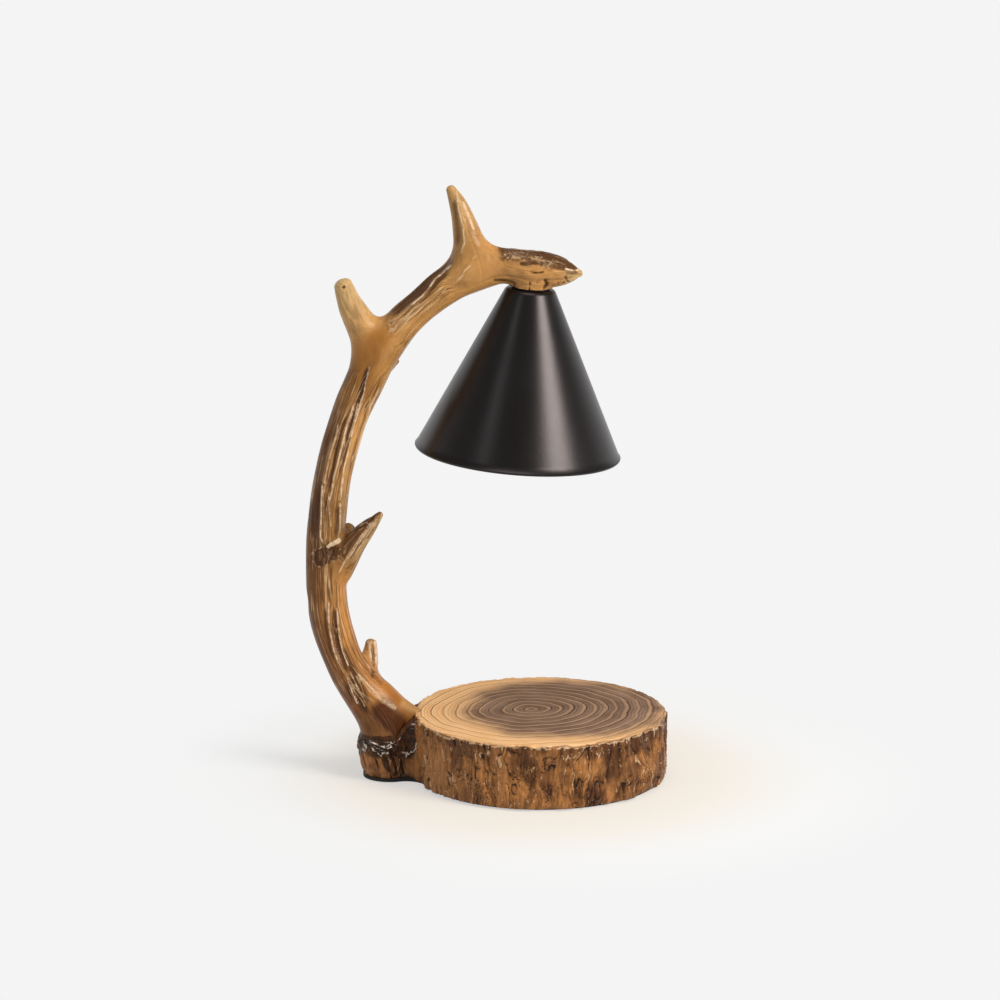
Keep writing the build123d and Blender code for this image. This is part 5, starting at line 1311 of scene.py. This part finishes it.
def bark_resin(settings):
    """Hand-painted resin wood: bark by its stored masks, painted highlights on the stump's collar, sawn top with growth
    rings.
    """
    material, tree, surface = shader("bark_resin")
    here = own_place(tree)
    cavity, crest, tone, sawn = (stored(tree, n) for n in ("cavity", "crest", "tone", "sawn"))
    main = settings.bark_colour
    cloud = noise(tree, here, 110.0, 4.0, 0.6)
    speck = noise(tree, here, 1300.0, 4.0, 0.65)
    fibre = noise(tree, stretched(tree, here, (1.0, 1.0, 0.22)), 800.0, 4.0, 0.6)
    light = stirred(tree, tone, cloud, 0.6)
    dark_bark = rgb((main[0] * 0.38, main[1] * 0.33, main[2] * 0.33))
    pale_bark = rgb((main[0] * 1.32, main[1] * 1.33, main[2] * 1.30))
    colour = mix(tree, span(tree, light, 0.05, 0.95), dark_bark, pale_bark)
    shift = span(tree, fibre, 0.3, 0.7, 0.66, 1.28)
    colour = dimmed(tree, colour, shift)
    depth = span(tree, stirred(tree, cavity, speck, 0.6), 0.15, 0.95)
    colour = coat(tree, colour, depth, 0.92, rgb((0.024, 0.0088, 0.0030)))
    brushed = span(tree, stirred(tree, crest, speck, 1.4), 0.50, 0.85)
    colour = coat(tree, colour, brushed, 0.68, rgb((0.70, 0.49, 0.30)))
    # Painted highlights on the stump's collar, along the stored strokes
    bend = noise(tree, here, 420.0, 3.0, 0.6)
    painted_glint = stirred(tree, stored(tree, "off"), bend, 4.5)
    painted_glint = times(tree, span(tree, calc(tree, "ABSOLUTE", painted_glint), 0.55, 0.20), stored(tree, "on"))
    painted_glint = times(tree, painted_glint, span(tree, noise(tree, here, 640.0, 2.0), 0.42, 0.55, 0.1, 1.0))
    colour = coat(tree, colour, painted_glint, 0.90, rgb((0.84, 0.74, 0.64)))
    top, dents, pore = sawn_wood(tree, here, settings)
    colour = mix(tree, sawn, colour, top)
    rough_bark = span(tree, speck, 0.3, 0.7, 0.14, 0.36)
    rough = put(tree, "Mix", {0: sawn, 2: rough_bark, 3: calc(tree, "MULTIPLY_ADD", pore, 0.2, 0.50)}).outputs[0]
    rise = calc(tree, "MULTIPLY_ADD", speck, 0.6, times(tree, fibre, 0.5))
    height = put(tree, "Mix", {0: sawn, 2: rise, 3: dents}).outputs[0]
    feed(tree, surface, Base_Color=colour, Roughness=rough, Specular_IOR_Level=span(tree, sawn, 0.3, 0.9, 0.17, 0.012),
         Normal=bump(tree, height, 0.8, 0.0006))
    return material


def shade_paint(settings):
    """Baked satin paint on spun metal: faint orange peel, spinning lines and a little dust."""
    material, tree, surface = shader("shade_paint")
    here = own_place(tree)
    peel = noise(tree, here, 900.0, 2.0, 0.5)
    spin = noise(tree, stretched(tree, here, (0.03, 0.03, 1.0)), 1500.0, 3.0, 0.6)
    pale_marks = noise(tree, here, 4200.0, 1.0, 0.5)
    smudge = noise(tree, here, 38.0, 4.0, 0.6)
    colour = mix(tree, span(tree, pale_marks, 0.76, 0.82, 0.0, 0.3), rgb(settings.shade_colour), rgb((0.06, 0.055, 0.05)))
    rough = calc(tree, "MULTIPLY_ADD", spin, 0.03, span(tree, smudge, 0.3, 0.75, 0.28, 0.32))
    height = calc(tree, "MULTIPLY_ADD", spin, 0.3, peel)
    feed(tree, surface, Base_Color=colour, Roughness=rough, Specular_IOR_Level=0.42,
         Specular_Tint=rgb((1.0, 0.88, 0.87)), Normal=bump(tree, height, 0.12, 0.0002))
    return material


def cast(name, colour, density, depth, low, high, **plain):
    """Plain moulded, cast or fired stuff with the shared grain."""
    material, tree, surface = shader(name)
    made = use(tree, grain_group(), Colour=rgb(colour), Density=density)
    feed(tree, surface, Base_Color=made["Tint"], Roughness=span(tree, made["Mottle"], 0.3, 0.7, low, high),
         Normal=bump(tree, made["Height"], 0.5, depth), **plain)
    return material


def metal(name, colour, tarnish, low, high, depth=0.00008, density=5000.0):
    """Plated or drawn metal with the shared finish."""
    material, tree, surface = shader(name)
    made = use(tree, metal_group(), Colour=rgb(colour), Tarnish=rgb(tarnish), Density=density)
    feed(tree, surface, Base_Color=made["Tint"], Metallic=1.0, Roughness=span(tree, made["Cloud"], 0.3, 0.7, low, high),
         Normal=bump(tree, made["Height"], 0.4, depth))
    return material


def reflector_glass():
    """Pressed glass with a vapour-coated mirror inside: cloudy silver with a faint pink edge."""
    material, tree, surface = shader("reflector_glass")
    here = own_place(tree)
    film = noise(tree, here, 60.0, 3.0, 0.5)
    colour = mix(tree, span(tree, film, 0.35, 0.7), rgb((0.80, 0.81, 0.84)), rgb((0.86, 0.80, 0.80)))
    feed(tree, surface, Base_Color=colour, Metallic=1.0, Roughness=span(tree, film, 0.3, 0.7, 0.07, 0.15),
         Normal=bump(tree, noise(tree, here, 500.0, 2.0), 0.08, 0.0003))
    return material


def lens_glass():
    """Clear pressed glass, very slightly wavy."""
    material, tree, surface = shader("lens_glass")
    here = own_place(tree)
    smear = noise(tree, here, 90.0, 4.0, 0.6)
    feed(tree, surface, Base_Color=rgb((0.97, 0.98, 0.98)), Transmission_Weight=1.0, IOR=1.48,
         Roughness=span(tree, smear, 0.4, 0.8, 0.02, 0.10),
         Normal=bump(tree, noise(tree, here, 260.0, 2.0), 0.1, 0.0004))
    return material


def filament():
    """Drawn tungsten wire, slightly blued by heat."""
    return metal("filament", (0.35, 0.35, 0.37), (0.24, 0.22, 0.26), 0.3, 0.5, 0.00002, 20000.0)


SLOT_MATERIALS = {
    "black_plastic": lambda: cast("black_plastic", (0.030, 0.030, 0.031), 2200.0, 0.00010, 0.42, 0.58),
    "pad_foam": lambda: cast("pad_foam", (0.022, 0.022, 0.022), 1400.0, 0.0005, 0.85, 0.97),
    "black_rubber": lambda: cast("black_rubber", (0.020, 0.020, 0.020), 2600.0, 0.00008, 0.55, 0.72),
    "white_nylon": lambda: cast("white_nylon", (0.80, 0.80, 0.76), 1800.0, 0.00008, 0.38, 0.52, Subsurface_Weight=0.1),
    "lead_brown": lambda: cast("lead_brown", (0.19, 0.075, 0.030), 2400.0, 0.00005, 0.34, 0.46),
    "lead_blue": lambda: cast("lead_blue", (0.040, 0.12, 0.40), 2400.0, 0.00005, 0.34, 0.46),
    "holder_ceramic": lambda: cast("holder_ceramic", (0.80, 0.77, 0.70), 1300.0, 0.00010, 0.36, 0.55),
    "zinc_steel": lambda: metal("zinc_steel", (0.62, 0.62, 0.61), (0.47, 0.46, 0.43), 0.26, 0.42),
    "pin_steel": lambda: metal("pin_steel", (0.58, 0.58, 0.59), (0.45, 0.44, 0.44), 0.2, 0.34),
    "brass": lambda: metal("brass", (0.78, 0.57, 0.24), (0.55, 0.36, 0.14), 0.22, 0.40),
    "lens_glass": lens_glass,
    "filament": filament,
}

# Fittings kept in the frame's own shapes: node, slot
ARM_FITTINGS = [("conduit_tube", "zinc_steel"), ("arm_washer", "zinc_steel"), ("arm_nut", "zinc_steel"),
                ("brass_insert", "brass"), ("nipple", "zinc_steel")]
BASE_FITTINGS = [("base_cover", "black_plastic"), ("base_pad", "pad_foam"), ("cover_screws", "zinc_steel"),
                 ("cable_gland", "black_rubber"), ("cord_clamp", "black_plastic"), ("clamp_screws", "zinc_steel")]
WIRING = [("terminal_block", "white_nylon"), ("terminal_tubes", "brass"), ("terminal_screws", "zinc_steel"),
          ("block_screw", "zinc_steel"), ("lead_live", "lead_brown"), ("lead_neutral", "lead_blue")]
HOLDER = [("shade_gasket", "black_rubber"), ("tooth_washer", "zinc_steel"), ("shade_nut", "zinc_steel"),
          ("holder_bracket", "zinc_steel"), ("bracket_nut", "zinc_steel"), ("lamp_holder", "holder_ceramic"),
          ("holder_contacts", "brass"), ("holder_screws", "zinc_steel")]
BULB_SMALL = [("bulb_base", "holder_ceramic"), ("bulb_pins", "pin_steel"), ("bulb_capsule", "lens_glass"),
              ("bulb_filament", "filament")]


def dress(pairs, body="root"):
    """Smooth copies of these nodes in the materials of their slots."""
    for node, slot in pairs:
        smooth_copy(node, SLOT_MATERIALS[slot](), slot, body)


# ---- stage ----------------------------------------------------------------------------------------
SEEN_STRENGTH = 0.955  # of the surroundings and the far table, as the camera and gloss see them
LAMP_DISTANCE = 1.6
LAMP_AIM = (-0.02, 0.0, 0.15)


def aim(name, data, where, target):
    """Puts a lamp in the scene so that it shines at the target."""
    clear(name)
    lamp = bpy.data.objects.new(name, data)
    lamp.location = where
    lamp.rotation_euler = (Vector(target) - Vector(where)).to_track_quat("-Z", "Y").to_euler()
    bpy.context.scene.collection.objects.link(lamp)
    return lamp


def area(name, size, power, colour, azimuth, rise):
    """A soft square lamp seen from the object at this azimuth (0 is the camera's side) and height."""
    data = bpy.data.lights.new(name, "AREA")
    data.size = size
    data.energy = power
    data.color = colour
    turn, up = math.radians(azimuth), math.radians(rise)
    where = (LAMP_DISTANCE * math.cos(up) * math.sin(turn), -LAMP_DISTANCE * math.cos(up) * math.cos(turn),
             LAMP_AIM[2] + LAMP_DISTANCE * math.sin(up))
    return aim(name, data, where, LAMP_AIM)


def seen_rays(tree):
    """1 for rays from the camera and through or off shiny surfaces."""
    path = put(tree, "LightPath").outputs
    shiny = calc(tree, "MAXIMUM", path["Is Glossy Ray"], path["Is Transmission Ray"])
    return calc(tree, "MAXIMUM", path["Is Camera Ray"], shiny)


def stage_floor(settings):
    """Pale table top: lit and shadowed near the lamp, with a painted pool of warm light round the base, and an even
    pale tone further off.
    """
    material, tree = emptied(bpy.data.materials, "table_top")
    here = own_place(tree)
    seen = seen_rays(tree)
    far = put(tree, "VectorMath", {0: here}, operation="LENGTH").outputs["Value"]
    # Painted pool of warm light on the table round the base
    painted_glow = times(tree, span(tree, far, 0.17, 0.085), 0.85)
    colour = mix(tree, painted_glow, rgb(settings.stage_colour, 0.42), rgb((0.388, 0.328, 0.230)))
    lit = put(tree, "BsdfDiffuse", {"Color": colour}).outputs[0]
    glow = put(tree, "Emission", {"Color": rgb(settings.stage_colour), "Strength": 0.54}).outputs[0]
    near = put(tree, "AddShader", {0: lit, 1: glow}).outputs[0]
    even = put(tree, "Emission", {"Color": rgb(settings.stage_colour), "Strength": SEEN_STRENGTH}).outputs[0]
    shown = put(tree, "MixShader", {0: span(tree, far, 0.115, 0.235), 1: near, 2: even}).outputs[0]
    bounce = put(tree, "BsdfDiffuse", {"Color": rgb(settings.stage_colour, 0.9)}).outputs[0]
    put(tree, "OutputMaterial", {"Surface": put(tree, "MixShader", {0: seen, 1: bounce, 2: shown}).outputs[0]})
    return material


def build_stage(settings):
    """Table top, surroundings, three soft lamps and the camera."""
    scene = bpy.context.scene
    clear("table_top")
    mesh = bpy.data.meshes.new("table_top")
    half, low = 9.0, -0.0003
    corners = [(-half, -half, low), (half, -half, low), (half, half, low), (-half, half, low)]
    mesh.from_pydata(corners, [], [(0, 1, 2, 3)])
    floor = bpy.data.objects.new("table_top", mesh)
    scene.collection.objects.link(floor)
    mesh.materials.append(stage_floor(settings))
    world, tree = emptied(bpy.data.worlds, "surroundings")
    dim = put(tree, "Background", {"Color": (1.0, 0.99, 0.975, 1.0), "Strength": settings.surround_light}).outputs[0]
    way = put(tree, "SeparateXYZ", {0: own_place(tree)}).outputs
    height = calc(tree, "MULTIPLY_ADD", way[0], 0.08, way[2])
    above = span(tree, height, 0.22, 0.38, 0.0, put(tree, "LightPath").outputs["Is Glossy Ray"])
    tone = mix(tree, above, rgb(settings.stage_colour), rgb(settings.stage_colour, 0.30))
    white = put(tree, "Background", {"Color": tone, "Strength": SEEN_STRENGTH}).outputs[0]
    put(tree, "OutputWorld", {"Surface": put(tree, "MixShader", {0: seen_rays(tree), 1: dim, 2: white}).outputs[0]})
    scene.world = world
    area("key_lamp", 0.66, settings.key_power, (1.0, 0.97, 0.93), 55.0, 33.0)
    area("fill_lamp", 0.30, settings.key_power * 0.036, (0.86, 1.0, 1.0), -43.0, 38.0)
    area("top_lamp", 0.80, settings.key_power * 0.27, (1.0, 0.98, 0.95), 0.0, 80.0)
    clear("camera")
    data = bpy.data.cameras.new("camera")
    data.lens = 187.3
    data.sensor_width = 36.0
    camera = bpy.data.objects.new("camera", data)
    camera.location = (-0.0224, -2.800, 0.840)
    camera.rotation_euler = (math.radians(76.32), 0.0, 0.0)
    scene.collection.objects.link(camera)
    scene.camera = camera
    scene.view_settings.view_transform = "Standard"


# ---- add-on ---------------------------------------------------------------------------------------
class LampSettings(bpy.types.PropertyGroup):
    """Sizes and colours of the lamp."""

    mesh_step: bpy.props.FloatProperty(
        name="Antler detail", description="Spacing of the points on the antler's skin",
        default=0.00068, min=0.0005, max=0.004, unit="LENGTH", subtype="DISTANCE")
    flute_depth: bpy.props.FloatProperty(
        name="Flute depth", description="Depth of the deepest flutes along the antler",
        default=0.001, min=0.0, max=0.002, unit="LENGTH", subtype="DISTANCE")
    bark_depth: bpy.props.FloatProperty(
        name="Bark depth", description="Height of the bark's plates above its fissures",
        default=0.001, min=0.0, max=0.002, unit="LENGTH", subtype="DISTANCE")
    ring_spacing: bpy.props.FloatProperty(
        name="Ring spacing", description="Distance between growth rings on the sawn face",
        default=0.0064, min=0.001, max=0.02, unit="LENGTH", subtype="DISTANCE")
    antler_colour: bpy.props.FloatVectorProperty(
        name="Antler", description="Golden brown of the antler", default=(0.455, 0.228, 0.071),
        min=0.0, max=1.0, size=3, subtype="COLOR")
    bark_colour: bpy.props.FloatVectorProperty(
        name="Bark", description="Middle brown of the bark's plates", default=(0.275, 0.114, 0.034),
        min=0.0, max=1.0, size=3, subtype="COLOR")
    wood_colour: bpy.props.FloatVectorProperty(
        name="Sawn wood", description="Tan of the sawn face", default=(0.95, 0.575, 0.28),
        min=0.0, max=1.0, size=3, subtype="COLOR")
    shade_colour: bpy.props.FloatVectorProperty(
        name="Shade", description="Paint of the shade", default=(0.0020, 0.0017, 0.0016),
        min=0.0, max=1.0, size=3, subtype="COLOR")
    stage_colour: bpy.props.FloatVectorProperty(
        name="Surroundings", description="Pale tone of the table and of all round it", default=(0.95, 0.95, 0.95),
        min=0.0, max=1.0, size=3, subtype="COLOR")
    surround_light: bpy.props.FloatProperty(
        name="Surrounding light", description="Light that comes evenly from all round", default=0.40, min=0.0, max=2.0)
    key_power: bpy.props.FloatProperty(
        name="Key lamp", description="Power of the soft lamp at the front right", default=21.5, min=0.0, max=200.0,
        subtype="POWER")


class LAMP_OT_slice(bpy.types.Operator):
    """Builds the wood slice with its stump, bark and growth rings"""

    bl_idname = "lamp.slice"
    bl_label = "Wood slice"

    def execute(self, context):
        build_slice(context.scene.lamp_settings)
        return {"FINISHED"}


class LAMP_OT_antler(bpy.types.Operator):
    """Builds the antler arm with its tines, flutes and paint masks"""

    bl_idname = "lamp.antler"
    bl_label = "Antler arm"

    def execute(self, context):
        build_antler(context.scene.lamp_settings)
        return {"FINISHED"}


class LAMP_OT_shade(bpy.types.Operator):
    """Builds the spun conical shade"""

    bl_idname = "lamp.shade"
    bl_label = "Shade"

    def execute(self, context):
        build_shade(context.scene.lamp_settings)
        return {"FINISHED"}


class LAMP_OT_bulb(bpy.types.Operator):
    """Builds the twist-lock reflector bulb"""

    bl_idname = "lamp.bulb"
    bl_label = "Bulb"

    def execute(self, context):
        build_reflector()
        build_lens()
        dress(BULB_SMALL, "bulb")
        return {"FINISHED"}


class LAMP_OT_holder(bpy.types.Operator):
    """Dresses the lamp holder, its bracket, nuts and gasket"""

    bl_idname = "lamp.holder"
    bl_label = "Lamp holder"

    def execute(self, context):
        dress(HOLDER)
        return {"FINISHED"}


class LAMP_OT_arm_fittings(bpy.types.Operator):
    """Dresses the conduit, the insert and the nipple inside the antler"""

    bl_idname = "lamp.arm_fittings"
    bl_label = "Arm fittings"

    def execute(self, context):
        dress(ARM_FITTINGS)
        return {"FINISHED"}


class LAMP_OT_base_fittings(bpy.types.Operator):
    """Dresses the cover, the foam pad, the cord inlet and their screws"""

    bl_idname = "lamp.base_fittings"
    bl_label = "Base fittings"

    def execute(self, context):
        dress(BASE_FITTINGS)
        return {"FINISHED"}


class LAMP_OT_wiring(bpy.types.Operator):
    """Dresses the terminal block and the two leads"""

    bl_idname = "lamp.wiring"
    bl_label = "Wiring"

    def execute(self, context):
        dress(WIRING)
        return {"FINISHED"}


class LAMP_OT_stage(bpy.types.Operator):
    """Builds the table top, the surroundings, the lamps and the camera"""

    bl_idname = "lamp.stage"
    bl_label = "Stage"

    def execute(self, context):
        build_stage(context.scene.lamp_settings)
        return {"FINISHED"}


class LAMP_PT_panel(bpy.types.Panel):
    """Candle warmer lamp"""

    bl_idname = "LAMP_PT_panel"
    bl_label = "Candle warmer lamp"
    bl_space_type = "VIEW_3D"
    bl_region_type = "UI"
    bl_category = "Lamp"

    def draw(self, context):
        settings = context.scene.lamp_settings
        for name in LampSettings.__annotations__:
            self.layout.prop(settings, name)
        for operator in OPERATORS:
            self.layout.operator(operator.bl_idname)


OPERATORS = (LAMP_OT_slice, LAMP_OT_antler, LAMP_OT_shade, LAMP_OT_bulb, LAMP_OT_holder, LAMP_OT_arm_fittings,
             LAMP_OT_base_fittings, LAMP_OT_wiring, LAMP_OT_stage)
CLASSES = (LampSettings, *OPERATORS, LAMP_PT_panel)


def register():
    """Adds the settings, the operators and the panel."""
    for cls in CLASSES:
        bpy.utils.register_class(cls)
    bpy.types.Scene.lamp_settings = bpy.props.PointerProperty(type=LampSettings)


def unregister():
    """Takes the settings, the operators and the panel away."""
    del bpy.types.Scene.lamp_settings
    for cls in reversed(CLASSES):
        bpy.utils.unregister_class(cls)


def main():
    """Builds every piece in order."""
    register()
    for operator in OPERATORS:
        getattr(bpy.ops.lamp, operator.bl_idname.split(".")[1])()
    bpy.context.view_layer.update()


if __name__ == "__main__":
    main()
